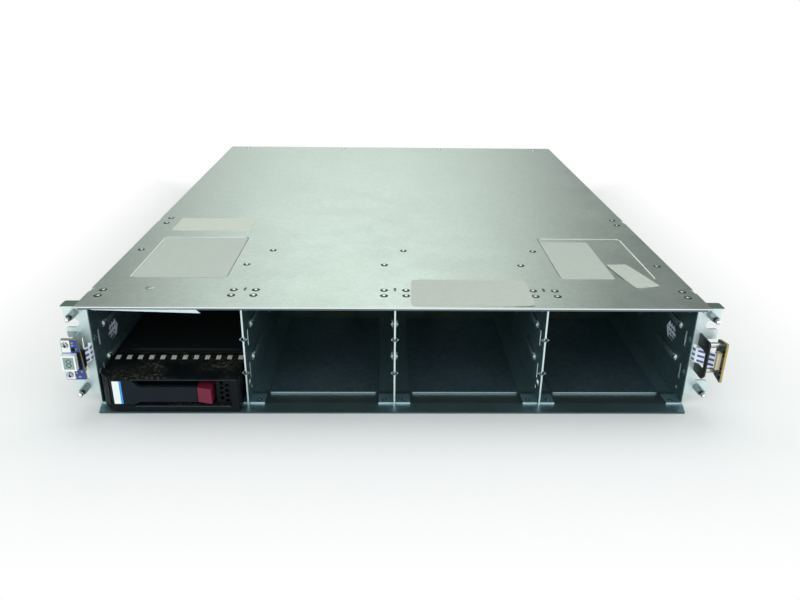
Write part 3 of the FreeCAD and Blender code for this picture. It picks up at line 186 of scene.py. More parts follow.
def grained(name, deep, pale, size, detail=2.0, coarse=0.5, gloss=None, relief=0.0, **surface):
    """A finish led by one grain, its size in millimetres; gloss is the ramp from grain to roughness."""
    finish = new_finish(name, **surface)
    recipe = [("grain", "NOISE", "place", per_mm(size), detail, coarse)]
    if gloss:
        recipe.append(("Roughness", "RAMP", "grain", *gloss))
    if relief:
        recipe.append(("Normal", "BUMP", "grain", relief, GRAIN_DEPTH))
    made = masks(finish, recipe)
    return overlaid(finish._replace(tone=linear(deep)), made["grain"], pale)


print("a grain is", GRAIN_DEPTH / MM, "mm deep")

# %% [markdown]
# ## Camera
# The photograph is taken from a little above, close up with a moderately wide lens, so the cover's sides
# run together towards the back. The camera stands at the place worked out from the rack's known width.

# %% Camera
CAMERA_AT = Vector((-6.9, -480.7, 292.1)) * MM
PITCH, YAW, ROLL = math.radians(23.10), math.radians(-1.233), math.radians(0.705)
LENS_MM, SENSOR_MM = 32.56, 36.0

level = Vector((-math.sin(YAW), math.cos(YAW), 0))
right = Vector((math.cos(YAW), math.sin(YAW), 0))
ahead = level * math.cos(PITCH) + Vector((0, 0, -math.sin(PITCH)))
above = level * math.sin(PITCH) + Vector((0, 0, math.cos(PITCH)))
side_axis = right * math.cos(ROLL) + above * math.sin(ROLL)
top_axis = above * math.cos(ROLL) - right * math.sin(ROLL)
camera_data = bpy.data.cameras.new("photo_camera")
camera_data.lens = LENS_MM
camera_data.sensor_width = SENSOR_MM
camera_data.clip_start = 0.01
camera = bpy.data.objects.new("photo_camera", camera_data)
bpy.context.scene.collection.objects.link(camera)
turn = Matrix((side_axis, top_axis, -ahead)).transposed().to_4x4()
camera.matrix_world = Matrix.Translation(CAMERA_AT) @ turn
bpy.context.scene.camera = camera
bpy.context.scene.view_settings.view_transform = "Standard"
print("camera looks along", tuple(round(c, 3) for c in ahead))

# %% [markdown]
# ## Floor
# The floor is a sheet of studio paper. Near the object it shades as it is lit, so it keeps the shadow.
# Further out it fades to a plain white that only the camera and mirrored rays see.

# %% Floor
FLOOR_REACH, FLOOR_DROP, FADE_WIDTH = 6.0, 0.0004, 0.16
floor_mesh = bpy.data.meshes.new("floor")
sides = (-FLOOR_REACH, FLOOR_REACH)
floor_mesh.from_pydata([(x, y, 0) for y in sides for x in sides], [], [(0, 1, 3, 2)])
floor = bpy.data.objects.new("floor", floor_mesh)
bpy.context.scene.collection.objects.link(floor)
floor.location.z = cad_box[0][2] - FLOOR_DROP

paper = grained("studio_paper_matt", "#F6F7F6", "#FAFAF9", 40, 3.0, Roughness=0.9)
tree = paper.tree
rays = add(tree, "ShaderNodeLightPath").outputs
middle = [(low + high) / 2 for low, high in zip(*cad_box)]
half = [(high - low) / 2 for low, high in zip(*cad_box)]
made = masks(paper, (
    ("off x", "SUBTRACT", "x", middle[0]), ("wide", "ABSOLUTE", "off x"),
    ("off y", "SUBTRACT", "y", middle[1]), ("long", "ABSOLUTE", "off y"),
    ("aside", "SUBTRACT", "wide", half[0]), ("behind", "SUBTRACT", "long", half[1]),
    ("apart", "MAXIMUM", "aside", "behind"), ("away", "RAMP", "apart", 0.0, FADE_WIDTH),
    ("seen", "MAXIMUM", "camera", "glossy"), ("shown", "MAXIMUM", "seen", "through"),
    ("fade", "MULTIPLY", "away", "shown"),
), camera=rays["Is Camera Ray"], glossy=rays["Is Glossy Ray"], through=rays["Is Transmission Ray"])
glow = add(tree, "ShaderNodeEmission", {"Color": (1, 1, 1, 1), "Strength": 1.0})
ground = add(tree, "ShaderNodeMixShader", {0: made["fade"], 1: paper.shader, 2: glow})
feed(tree, tree.nodes["Material Output"], {"Surface": ground})
floor_mesh.materials.append(paper.material)
print("the floor fades to white over", FADE_WIDTH, "m")

# %% [markdown]
# ## Backdrop and lamps
# A soft bright field behind the object is mirrored in the cover, so the sheet is brightest in the middle and
# falls off to its sides. Four large soft lamps light the rest evenly, and two white cards at the sides give
# the flanks something to mirror.

# %% Backdrop
world = bpy.data.worlds.new("studio")
bpy.context.scene.world = world
world.use_nodes = True
tree = world.node_tree
tree.nodes.clear()
direction = add(tree, "ShaderNodeTexCoord").outputs["Generated"]
FIELD_AT = Vector((-0.035, 0.89, 0.43)).normalized()
toward = add(tree, "ShaderNodeVectorMath", {0: direction, 1: FIELD_AT}, operation="DOT_PRODUCT")
rays = add(tree, "ShaderNodeLightPath").outputs
made = work_out(tree, (
    ("light", "RAMP", "toward", 0.935, 1.0, 0.13, 2.2), ("shown", "MAXIMUM", "camera", "through"),
), toward=toward, camera=rays["Is Camera Ray"], through=rays["Is Transmission Ray"])
room = add(tree, "ShaderNodeBackground", {"Color": linear("#E6F0EC"), "Strength": made["light"]})
white = add(tree, "ShaderNodeBackground", {"Color": (1, 1, 1, 1), "Strength": 1.0})
both = add(tree, "ShaderNodeMixShader", {0: made["shown"], 1: room, 2: white})
add(tree, "ShaderNodeOutputWorld", {"Surface": both})
print("the backdrop is brightest towards", tuple(round(c, 2) for c in FIELD_AT))

# %% Lamps
LAMPS = (  # name, place and aim in metres, width, depth, watts, tint
    ("lamp_overhead", (0.0, 0.55, 1.9), (0.0, 0.22, 0.05), 1.7, 1.3, 13, "#FBFFFD"),
    ("lamp_front_left", (-1.3, -1.1, 1.2), (-0.05, 0.0, 0.04), 1.5, 1.5, 9, "#FFFFFF"),
    ("lamp_right", (1.5, -0.5, 0.9), (0.1, 0.05, 0.04), 1.4, 1.4, 6, "#FFFFFF"),
    ("lamp_camera_side", (0.1, -1.2, 0.72), (0.0, 0.05, 0.04), 3.0, 1.5, 21, "#F2FBFF"),
    ("card_left", (-2.0, 0.9, 0.75), (0.0, 0.9, 0.45), 3.2, 1.3, 6, "#FFFFFF"),
    ("card_right", (2.0, 0.9, 0.75), (0.0, 0.9, 0.45), 3.2, 1.3, 6, "#FFFFFF"),
)
for name, at, aim, width, depth, watts, tint in LAMPS:
    data = bpy.data.lights.new(name, "AREA")
    data.shape = "RECTANGLE"
    data.size, data.size_y = width, depth
    data.energy = watts
    data.color = linear(tint)[:3]
    lamp = bpy.data.objects.new(name, data)
    bpy.context.scene.collection.objects.link(lamp)
    lamp.location = at
    lamp.rotation_euler = (Vector(aim) - Vector(at)).to_track_quat("-Z", "Y").to_euler()
print(len(LAMPS), "lamps and cards are set")


# %% [markdown]
# ## Galvanised sheet steel
# Hot-dip galvanised sheet is steel under a skin of zinc. Skin-passed zinc is a satin sage grey with faint
# crystals a few millimetres across, soft smudges from handling, and hairline scuffs. Crystals come from a
# Voronoi pattern, smudges from a broad noise in the roughness, and scuffs from a noise stretched into hairs.

# %% Galvanised steel
def zinc_sheet(name, pale, deep, smooth=0.3, rough=0.42, metallic=0.88):
    finish = new_finish(name, Metallic=metallic)
    tree, place = finish.tree, finish.place
    cells = add(tree, "ShaderNodeTexVoronoi", {"Vector": place, "Scale": per_mm(3.0), "Randomness": 1.0})
    crystals = add(tree, "ShaderNodeSeparateColor", {0: cells.outputs["Color"]})
    slant = add(tree, "ShaderNodeMapping", {"Vector": place, "Rotation": (0.0, 0.0, 0.55),
                                            "Scale": (1.0, 0.035, 1.0)})
    made = masks(finish, (
        ("clouds", "NOISE", "place", per_mm(60), 8.0, 0.75), ("speck", "NOISE", "place", per_mm(1.4), 2.0),
        ("grains", "MULTIPLY_ADD", "crystals", 0.25, "speck"),
        ("mottle", "MULTIPLY_ADD", "clouds", 0.5, "grains"), ("spread", "RAMP", "mottle", 0.55, 1.2),
        ("hairs", "NOISE", "slant", per_mm(1.6), 1.0), ("thin", "RAMP", "hairs", 0.69, 0.74),
        ("patches", "RAMP", "clouds", 0.5, 0.72), ("scuff", "MULTIPLY", "thin", "patches"),
        ("faint", "MULTIPLY", "scuff", 0.4), ("Roughness", "RAMP", "clouds", 0.3, 0.7, smooth, rough),
        ("Normal", "BUMP", "crystals", 0.05, 2 * GRAIN_DEPTH),
    ), crystals=crystals, slant=slant)
    sheet = overlaid(finish._replace(tone=linear(deep)), made["spread"], pale)
    return overlaid(sheet, made["faint"], "#DCE3DF")


def dusted(finish, amount, dust="#8C8672"):
    """Lay drifts of fine dust on the faces of a finish that look up."""
    made = masks(finish, (
        ("specks", "NOISE", "place", per_mm(2.2), 6.0, 0.75), ("fine", "RAMP", "specks", 0.5, 0.72),
        ("drift", "NOISE", "place", per_mm(34), 2.0), ("broad", "RAMP", "drift", 0.38, 0.62),
        ("settled", "MULTIPLY", "fine", "broad"), ("upward", "RAMP", "face z", 0.75, 1.0, 0.0, amount),
        ("lying", "MULTIPLY", "settled", "upward"),
    ))
    return overlaid(finish, made["lying"], dust)


def banded(finish, start, end, low, high, colour):
    """Lay a colour along Y, from none at start to full at end, between two heights, all in millimetres."""
    made = masks(finish, (
        ("near", "RAMP", "y", start * MM, end * MM),
        ("level", "COMPARE", "z", (low + high) / 2 * MM, (high - low) / 2 * MM),
        ("band", "MULTIPLY", "near", "level"),
    ))
    return overlaid(finish, made["band"], colour)


print("zinc crystals are 3 mm across, scale %.0f" % per_mm(3))

# %% [markdown]
# ## The four kinds of sheet
# The cover's folded front edge carries a painted highlight above and painted shade below. The pan's top is
# painted darker and bluer than the tub's sides as painted shade, a little less dark on the lip, paler behind the
# plates' fronts as painted light, and its sheared front edge is a dark line of painted shade. The floor plates in
# the bays are bluish and dusty, with a front edge that is part bare sheared steel and part painted highlight, over
# a line of painted shadow. Each band is laid by its depth and height, which stay true if the sheet is remeshed.

# %% Sheets
ANY_HEIGHT = (-1000.0, 1000.0)
FOLD = (-16.3, -16.45)
PAN_TOP = (1.1, 1.3)
PLATE_EDGE = (14.2, 14.05)

cover = zinc_sheet("galvanised_steel_skin_passed", "#C8D0C9", "#B6BFB8")
# The fold's front face: a painted highlight in its upper band and painted shade in its lower band.
cover = banded(cover, *FOLD, 87.05, 88.1, "#E4EBEA")
galvanised_cover = banded(cover, *FOLD, 85.0, 87.05, "#5B6C6E").material
galvanised_plain = zinc_sheet("galvanised_steel_pressed", "#A6B3B2", "#8F9D9C").material

tub = zinc_sheet("galvanised_steel_tub", "#B3BEB8", "#9DA9A3", 0.38, 0.48, 0.95)
# Pan top: painted shade, darker and bluer inside the bays and a little less dark on the lip; painted light, paler
# behind the plates' fronts.
for start, end, colour in ((180.0, 160.0, "#72898C"), (14.0, 20.0, "#A4C4C8"), (1.0, -2.0, "#8AA7AE")):
    tub = banded(tub, start, end, *PAN_TOP, colour)
# The lip's front edge: a dark band of painted shade.
tub_zinc = banded(tub, -13.4, -13.55, -0.1, PAN_TOP[1], "#52696D").material

plate = dusted(zinc_sheet("galvanised_steel_bay_floor", "#8DADBC", "#6C8E9C"), 0.7, "#A08C5E")
# The plates' front edge: bright, part bare sheared steel and part painted highlight, over a dark line of painted
# shadow.
plate = banded(plate, *PLATE_EDGE, 1.4, 2.5, "#E8F0F0")
floor_zinc = banded(plate, *PLATE_EDGE, 1.1, 1.4, "#26363A").material
print("cover, pressed, tub and floor sheets made")

# %% [markdown]
# ## Bay walls
# The bay walls are the same handled sheet, painted darker as painted shade of the bays' inside. Their sheared
# front edges are bright, and the guide ribs and their noses carry a painted highlight, strongest at the front.
# Both are laid
# out from Object coordinates: the distance from the nearest divider plane finds the ribs, and Y the front edge.

# %% Bay wall finish
BAY_PITCH = 111.0 * MM
RIB_FROM = 1.9 * MM
EAR_FROM = 222.9 * MM
WALL_RECIPE = (
    # distance from the nearest divider's middle plane, and from the object's
    ("bays", "DIVIDE", "x", BAY_PITCH), ("nearest", "ROUND", "bays"),
    ("plane", "MULTIPLY", "nearest", BAY_PITCH), ("apart", "SUBTRACT", "x", "plane"),
    ("proud", "ABSOLUTE", "apart"), ("outer", "ABSOLUTE", "x"),
    # ribs that stand proud get a painted highlight, most of all at their front end and on the raised nose
    ("rubbed", "RAMP", "proud", RIB_FROM, RIB_FROM + 0.7 * MM),
    ("lead in", "RAMP", "y", 24 * MM, 44 * MM, 1.0, 0.18), ("rows", "COMPARE", "z", 44 * MM, 20 * MM),
    ("rib front", "MULTIPLY", "rows", "lead in"), ("rib wear", "MULTIPLY", "rubbed", "rib front"),
    ("nose", "COMPARE", "y", 21.5 * MM, 2.6 * MM), ("raised", "GREATER_THAN", "proud", 1.0 * MM),
    ("tip", "MULTIPLY", "nose", "raised"), ("rubbed bare", "MAXIMUM", "rib wear", "tip"),
    ("in bay", "LESS_THAN", "outer", EAR_FROM), ("worn", "MULTIPLY", "rubbed bare", "in bay"),
    # sheared edges: the sheet's own front, the slits in it below the cover, and the front of each foot
    ("front", "RAMP", "y", -3.1 * MM, -3.4 * MM), ("inside", "LESS_THAN", "proud", 0.63 * MM),
    ("own edge", "MULTIPLY", "front", "inside"), ("broad", "ABSOLUTE", "face x"),
    ("narrow", "LESS_THAN", "broad", 0.3), ("sheared", "MULTIPLY", "narrow", "inside"),
    ("under cover", "LESS_THAN", "z", 86.5 * MM), ("slit edge", "MULTIPLY", "sheared", "under cover"),
    ("sheet edge", "MAXIMUM", "own edge", "slit edge"), ("face ahead", "LESS_THAN", "face y", -0.7),
    ("low down", "LESS_THAN", "z", 3 * MM), ("foot edge", "MULTIPLY", "face ahead", "low down"),
    ("fronts", "MAXIMUM", "sheet edge", "foot edge"), ("bright", "MAXIMUM", "worn", "fronts"),
    # the ears' upright faces, outside the bays, are painted pale, free of the wall's painted shade; their folds
    # and the tops of the feet look up and get painted lit tones
    ("ear", "RAMP", "outer", EAR_FROM - 1.2 * MM, EAR_FROM), ("upright", "LESS_THAN", "face z", 0.5),
    ("ear face", "MULTIPLY", "ear", "upright"), ("bare", "MAXIMUM", "bright", "ear face"),
    ("level", "GREATER_THAN", "face z", 0.5), ("ear fold", "MULTIPLY", "ear", "level"),
    ("foot top", "MULTIPLY", "level", "low down"),
)
# The wall's darker sheet tone is painted shade of the bay's inside.
wall = zinc_sheet("galvanised_steel_bay_wall", "#6C888D", "#4A666B", 0.38, 0.58, 0.75)
made = masks(wall, WALL_RECIPE)
# Bright: bare sheared edges, and a painted highlight on ribs and noses; ear faces pale; ear folds and foot tops
# painted lit tones.
for mask, colour in (("bare", "#DCEBEA"), ("ear fold", "#738778"), ("foot top", "#7EA4AC")):
    wall = overlaid(wall, made[mask], colour)
wall_zinc = wall.material
print("bay wall finish reads a pitch of %.0f mm" % (BAY_PITCH / MM))

# %% [markdown]
# ## Plated, blackened and cast metal
# Screws and rivets are zinc plated and tumbled: bright, with tiny dents that break up the highlight. The
# right ear's bracket is blackened steel, a thin satin oxide with a slight bloom. The studs' hexagons keep a
# dark phosphate coat, and their balls are polished. The drive is cast aluminium under a matt dark dip coat.

# %% Metals
plated = grained("plated_steel_tumbled", "#9FA7A6", "#D9DEDD", 0.8, 3.0, gloss=(0.0, 1.0, 0.16, 0.36),
                 relief=0.12, Metallic=1.0).material
blackened = grained("steel_black_oxide", "#1B2322", "#343E3C", 4, 4.0, Metallic=0.55, Roughness=0.45).material
cast = grained("aluminium_die_cast_dark_coat", "#23292B", "#363D3F", 0.9, 4.0, gloss=(0.0, 1.0, 0.35, 0.55),
               relief=0.2, Metallic=0.6).material
gold = grained("gold_flash_on_nickel", "#B48A3A", "#DDBB67", 1.0, gloss=(0.0, 1.0, 0.2, 0.4),
               Metallic=1.0).material

BALL_FROM, BALL_FULL = -13.2, -14.0
stud = grained("stud_steel_phosphated", "#5C686C", "#959FA2", 1.5, Metallic=1.0)
masks(stud, [("Roughness", "RAMP", "y", BALL_FROM * MM, BALL_FULL * MM, 0.2, 0.12)])
stud_steel = banded(stud, BALL_FROM, BALL_FULL, *ANY_HEIGHT, "#E6EAEA").material

# Contact springs: rolled copper alloy with a soft nickel plate, warm and pale. They grow from a strip in a
# black sleeve.
spring = grained("copper_alloy_nickel_plated", "#D6D7C6", "#F6F6EC", 1.2, 3.0, gloss=(0.0, 1.0, 0.28, 0.5),
                 Metallic=0.35)
nickel_spring = banded(spring, 24.2, 24.6, *ANY_HEIGHT, "#181C1C").material
print("plated, blackened, cast, gold, stud and spring metals made")


# %% [markdown]
# ## Moulded plastics
# The carrier is black ABS blend moulded in a spark-eroded tool, which leaves a fine grain and a satin
# sheen. Upward faces collect pale dust. The lever is the same plastic in charcoal, and the button is
# maroon. Each gets its grain as bump, and a broad noise that changes the gloss where fingers polish it.

# %% Moulded plastics
def moulded(name, deep, pale, smooth, rough, dust=0.0, sheen=0.5):
    finish = grained(name, deep, pale, 14, 4.0, gloss=(0.3, 0.7, smooth, rough), Specular_IOR_Level=sheen)
    masks(finish, (("sparks", "NOISE", "place", per_mm(0.35), 2.0),
                   ("Normal", "BUMP", "sparks", 0.16, 0.8 * GRAIN_DEPTH)))
    return (dusted(finish, dust) if dust else finish).material


black_abs = moulded("abs_black_spark_grain", "#080D0F", "#0F1619", 0.42, 0.6, dust=0.75, sheen=0.12)
charcoal_abs = moulded("abs_charcoal_satin", "#10191E", "#172228", 0.34, 0.48, dust=0.2, sheen=0.12)
ridge_abs = moulded("abs_grey_rubbed", "#161F23", "#232E33", 0.34, 0.46, sheen=0.3)
maroon_abs = moulded("abs_maroon_satin", "#67182C", "#752139", 0.3, 0.42, sheen=0.3)
white_abs = moulded("polycarbonate_white_moulded", "#E3E7E5", "#F1F3F2", 0.25, 0.4)
cream_nylon = moulded("nylon_cream_moulded", "#CDBF9B", "#DDD1B2", 0.4, 0.55)
print("six moulded plastics made")


# %% [markdown]
# ## Circuit boards and ribbon
# The ear boards are glass laminate under solder mask, and their sawn edges show the bare straw-coloured
# laminate. The ribbon is a white film cable with a navy mark on each pair of conductors.

# %% Boards and ribbon
def laminate(name, deep, pale, thin_face):
    finish = new_finish(name)
    waves = add(finish.tree, "ShaderNodeTexWave", {"Vector": finish.place, "Scale": per_mm(3.2),
                                                   "Distortion": 5.0, "Detail": 2.0}, bands_direction="Z")
    weave = waves.outputs["Fac"]
    made = masks(finish, (
        ("flat", "ABSOLUTE", thin_face), ("sawn", "LESS_THAN", "flat", 0.5),
        ("Roughness", "RAMP", "weave", 0.0, 1.0, 0.22, 0.4),
    ), weave=weave)
    mask_coat = overlaid(finish._replace(tone=linear(deep)), weave, pale)
    return overlaid(mask_coat, made["sawn"], "#A8913F").material


board_blue = laminate("glass_laminate_blue_mask", "#16367C", "#22509C", "face y")
board_dark = laminate("glass_laminate_dark_mask", "#12201F", "#1E302F", "face x")
board_green = laminate("glass_laminate_green_mask", "#12301F", "#1B442C", "face y")

PAIR_PITCH, DASH_PITCH, RIBBON_LOW = 4.0 * MM, 4.6 * MM, 39.6 * MM
ribbon = new_finish("polyester_film_ribbon", Roughness=0.35)
made = masks(ribbon, (
    ("lift", "SUBTRACT", "z", RIBBON_LOW), ("pairs", "DIVIDE", "lift", PAIR_PITCH),
    ("across", "FRACT", "pairs"), ("middle", "COMPARE", "across", 0.5, 0.22),
    ("along", "DIVIDE", "y", DASH_PITCH), ("dash", "FRACT", "along"),
    ("printed", "LESS_THAN", "dash", 0.72), ("ink", "MULTIPLY", "middle", "printed"),
))
film = overlaid(ribbon._replace(tone=linear("#EEF3F6")), made["ink"], "#4A559B").material
print("three boards and a ribbon made")


# %% [markdown]
# ## Labels, panes and lenses
# Labels are matt polyester film and one is plain paper, all left blank. Panes and lenses are clear plastic
# with colour in it. All of them are smooth sheets with a faint fibre or cloud in their tone.

# %% Labels, panes and lenses
def smooth_sheet(name, pale, deep, rough):
    return grained(name, deep, pale, 5, 6.0, coarse=0.7, Roughness=rough).material


label_film = smooth_sheet("polyester_label_blank", "#C9D0C7", "#B6BEB5", 0.5)
label_paper = smooth_sheet("paper_label_blank", "#CDD2C9", "#BAC0B6", 0.8)
label_pale = smooth_sheet("polyester_label_faded", "#DADFD3", "#CDD3C7", 0.5)
label_blue = smooth_sheet("polyester_label_blue_band", "#2F9BE6", "#2488D2", 0.45)
pane_grey = smooth_sheet("epoxy_display_pane", "#8FA39E", "#82968F", 0.22)
bar_grey = smooth_sheet("epoxy_display_bar", "#3E4F4C", "#364643", 0.25)
lever_film = smooth_sheet("polyester_label_white", "#F2F5F4", "#E4E9E8", 0.4)
lens_green = smooth_sheet("polycarbonate_lens_green", "#4E9A5E", "#3F8850", 0.15)
print("labels, panes and lenses made")

# %% [markdown]
# ## Give the solids their finish
# Each solid names a material slot in the record. The table below sends each slot to its finish, and a
# second one lists the solids that need a finish of their own.

# %% Assign finishes
FINISH = {
    "galvanised_steel": galvanised_plain, "galvanised_cover": galvanised_cover, "bright_steel": plated,
    "dark_steel": blackened, "cast_aluminium": cast, "black_plastic": black_abs,
    "charcoal_plastic": charcoal_abs, "maroon_plastic": maroon_abs, "white_plastic": white_abs,
    "cream_plastic": cream_nylon, "circuit_board": board_blue, "ribbon_film": film,
}
OWN_FINISH = {"ear_ball_studs": stud_steel, "led_board": board_dark, "midplane_board": board_green,
              "bay_floor_plates": floor_zinc, "spring_fingers": nickel_spring, "chassis_tub": tub_zinc}
for name in ("left_ear_wall", "right_ear_wall", "left_bay_divider", "centre_bay_divider",
             "right_bay_divider"):
    OWN_FINISH[name] = wall_zinc
for name, solid in nodes.items():
    solid.data.materials.clear()
    solid.data.materials.append(OWN_FINISH.get(name, FINISH[slot_of[name]]))
print("finishes given to", len(nodes), "solids")


# %% [markdown]
# ## Tools for thin pieces
# Labels, panes and pads are thin plates. Each is drawn as an outline in millimetres and extruded in bmesh.
# The thicker ones get bevelled rims that catch light. The piece then rides on the body that carries it.

# %% Mesh helpers
AXES = {"xy": (0, 1, 2), "xz": (0, 2, 1), "yz": (1, 2, 0)}
RIM_ANGLE = 0.9


def rounded(u0, v0, u1, v1, radius, steps=4):
    """Outline of a rectangle with round corners."""
    points = []
    for u, v, start in ((u1, v1, 0), (u0, v1, 90), (u0, v0, 180), (u1, v0, 270)):
        cu = u - radius if u == u1 else u + radius
        cv = v - radius if v == v1 else v + radius
        turns = [math.radians(start + 90 * k / steps) for k in range(steps + 1)]
        points += [(cu + radius * math.cos(a), cv + radius * math.sin(a)) for a in turns]
    return points


def around(u, v, width, height, radius):
    """A rounded rectangle about its centre."""
    return rounded(u - width / 2, v - height / 2, u + width / 2, v + height / 2, radius)


def join_rings(bm, first, second):
    """Faces between two rings of as many points."""
    for k in range(len(first)):
        after = (k + 1) % len(first)
        bm.faces.new((first[k], first[after], second[after], second[k]))


def slab(bm, outline, plane, low, high):
    """Extrude an outline between two depths; plane names the outline's two axes."""
    first, second, third = AXES[plane]
    rings = []
    for depth in (low, high):
        ring = []
        for u, v in outline:
            place = Vector((0, 0, 0))
            place[first], place[second], place[third] = u * MM, v * MM, depth * MM
            ring.append(bm.verts.new(place))
        rings.append(ring)
    bm.faces.new(rings[0])
    bm.faces.new(rings[1])
    join_rings(bm, *rings)


def settle(bm, name, material, body, bevel=0.0):
    """Make a piece of a bmesh: faces outwards, sharp rims bevelled, riding on its body."""
    bmesh.ops.recalc_face_normals(bm, faces=bm.faces)
    if bevel:
        rims = [edge for edge in bm.edges if edge.calc_face_angle(0) > RIM_ANGLE]
        bmesh.ops.bevel(bm, geom=rims, offset=bevel * MM, segments=2, profile=0.5, affect="EDGES")
    mesh = bpy.data.meshes.new(name)
    bm.to_mesh(mesh)
    bm.free()
    mesh.materials.append(material)
    piece = bpy.data.objects.new(name, mesh)
    bpy.context.scene.collection.objects.link(piece)
    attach(piece, body)
    return piece


def plates(name, outlines, plane, low, high, material, body, bevel=0.0):
    """One piece from several outlines that share their depth."""
    bm = bmesh.new()
    for outline in outlines:
        slab(bm, outline, plane, low, high)
    return settle(bm, name, material, body, bevel)


def mm_box(name):
    """A solid's lowest and highest corners in millimetres."""
    return [[c / MM for c in corner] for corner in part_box(name)]


cover_top = mm_box("top_cover")[1][2]
print("the cover's top is at %.1f mm" % cover_top)

# %% [markdown]
# ## Blank labels on the cover
# The cover carries film labels in two shallow sunk pads, and a narrow strip. They are left blank. Each pad is
# pressed down with a slope round it, which is a closed ring with a three-cornered section.

# %% Labels and pads
PAD_FLOOR = cover_top - 0.4
FILM_T, STRIP_T = 0.15, 0.12
LABELS = (  # name, corners, radius, height it lies at, thickness, material
    ("left_label", (-202.6, 41.4, -130.4, 138.6), 3.0, PAD_FLOOR, FILM_T, label_film),
    ("right_label", (130, 40.8, 172, 130.5), 2, PAD_FLOOR, FILM_T, label_film),
    ("strip_label", (-203.5, 158.5, -132, 197.5), 1, cover_top, STRIP_T, label_pale),
)
for name, corners, radius, low, thick, material in LABELS:
    plates(name, [rounded(*corners, radius)], "xy", low, low + thick, material, "chassis")

PAD_Y, PAD_RADIUS, SLOPE = (40, 140), 4, 0.9
for name, x0, x1 in (("left_pad_slope", -204, -129), ("right_pad_slope", 129, 204)):
    wide = rounded(x0, PAD_Y[0], x1, PAD_Y[1], PAD_RADIUS)
    tight = rounded(x0 + SLOPE, PAD_Y[0] + SLOPE, x1 - SLOPE, PAD_Y[1] - SLOPE, PAD_RADIUS - SLOPE)
    bm = bmesh.new()
    rings = [[bm.verts.new(Vector((x, y, z)) * MM) for x, y in outline]
             for outline, z in ((wide, cover_top), (tight, PAD_FLOOR), (wide, PAD_FLOOR))]
    for first, second in ((0, 1), (1, 2), (2, 0)):
        join_rings(bm, rings[first], rings[second])
    settle(bm, name, galvanised_cover, "chassis")
print(len(LABELS), "film labels laid on the cover")


# %% [markdown]
# ## Paper stickers
# Two blank paper stickers lie on the cover, with worn corners and one corner that lifts a little. A flat
# plate would look printed on, so each is a grid of points that can curl and ripple.

# %% Stickers
ACROSS, ALONG = 24, 12
PAPER_T, PAPER_LIE, RIPPLE, CORNER_WEAR = 0.12, 0.06, 0.03, 0.03


def sticker(name, corners, lift):
    """A paper sheet between four corners (X, Y), its first corner lifted by some millimetres."""
    bm = bmesh.new()
    ends = [Vector(corner) for corner in corners]
    centre = (ends[0] + ends[1] + ends[2] + ends[3]) / 4
    rows = []
    for i in range(ACROSS + 1):
        row = []
        for j in range(ALONG + 1):
            s, t = i / ACROSS, j / ALONG
            flat = ends[0].lerp(ends[1], s).lerp(ends[3].lerp(ends[2], s), t)
            worn = max(0.0, 1 - 16 * min(s, 1 - s) - 8 * min(t, 1 - t))
            flat = flat.lerp(centre, CORNER_WEAR * worn)
            curl = max(0.0, 1 - 3.2 * math.hypot(s, t)) ** 2
            ripple = RIPPLE * math.sin(9 * s + 2) * math.sin(7 * t)
            height = cover_top + PAPER_LIE + ripple + lift * curl
            row.append(bm.verts.new(Vector((flat.x, flat.y, height)) * MM))
        rows.append(row)
    for i in range(ACROSS):
        for j in range(ALONG):
            bm.faces.new((rows[i][j], rows[i + 1][j], rows[i + 1][j + 1], rows[i][j + 1]))
    thick = bmesh.ops.extrude_face_region(bm, geom=bm.faces[:])
    moved = [item for item in thick["geom"] if isinstance(item, bmesh.types.BMVert)]
    bmesh.ops.translate(bm, verts=moved, vec=(0, 0, PAPER_T * MM))
    return settle(bm, name, label_paper, "chassis")


sticker("paper_sticker", [(100.0, -13), (11, -13), (12.5, 37.5), (100.3, 36.5)], 0.35)
sticker("small_sticker", [(182, 21), (202, 26.5), (190, 73.5), (173, 72.5)], 0.2)
print("two paper stickers laid on the cover")

# %% [markdown]
# ## Sprung hem
# The cover's front edge is folded under. Over the first bay the fold has sprung open a little, and its return
# hangs down as a thin bright wedge. It is one plate with a slanting lower edge.

# %% Sprung hem
sprung_zinc = zinc_sheet("galvanised_steel_sprung_hem", "#DCEBEA", "#C8D8D8", 0.38, 0.58, 0.75).material
hem_front, hem_low = mm_box("top_cover")[0][1:]
wedge = [(-212.0, hem_low + 0.4), (-212.0, hem_low), (-136.6, hem_low - 2.3), (-139.4, hem_low + 0.4)]
plates("sprung_hem", [wedge], "xz", hem_front - 0.25, hem_front + 0.05, sprung_zinc, "chassis")
print("the hem's return hangs to %.1f mm" % wedge[2][1])


# %% [markdown]
# ## Rivets and screws by Geometry Nodes
# The same small head repeats many times, so it is built once in a node tree and set on a list of points. The
# first tree turns a plain tapered head. The second cuts a cross recess into the head for a screw. Each tree
# ends by realising its instances, and the result is kept as a plain mesh, one for each body.

# %% Node tree helpers
def new_tree(name, sizes):
    """A geometry tree with a points input, named sizes with their defaults, and one output."""
    tree = bpy.data.node_groups.new(name, "GeometryNodeTree")
    tree.interface.new_socket("Points", in_out="INPUT", socket_type="NodeSocketGeometry")
    for label, kind, value in sizes:
        socket = tree.interface.new_socket(label, in_out="INPUT", socket_type="NodeSocket" + kind)
        if value is not None:
            socket.default_value = value
    tree.interface.new_socket("Mesh", in_out="OUTPUT", socket_type="NodeSocketGeometry")
    return tree, add(tree, "NodeGroupInput").outputs


def close_tree(tree, geometry, material):
    plain = add(tree, "GeometryNodeRealizeInstances", {"Geometry": geometry})
    coated = add(tree, "GeometryNodeSetMaterial", {"Geometry": plain, "Material": material})
    add(tree, "NodeGroupOutput", {0: coated})


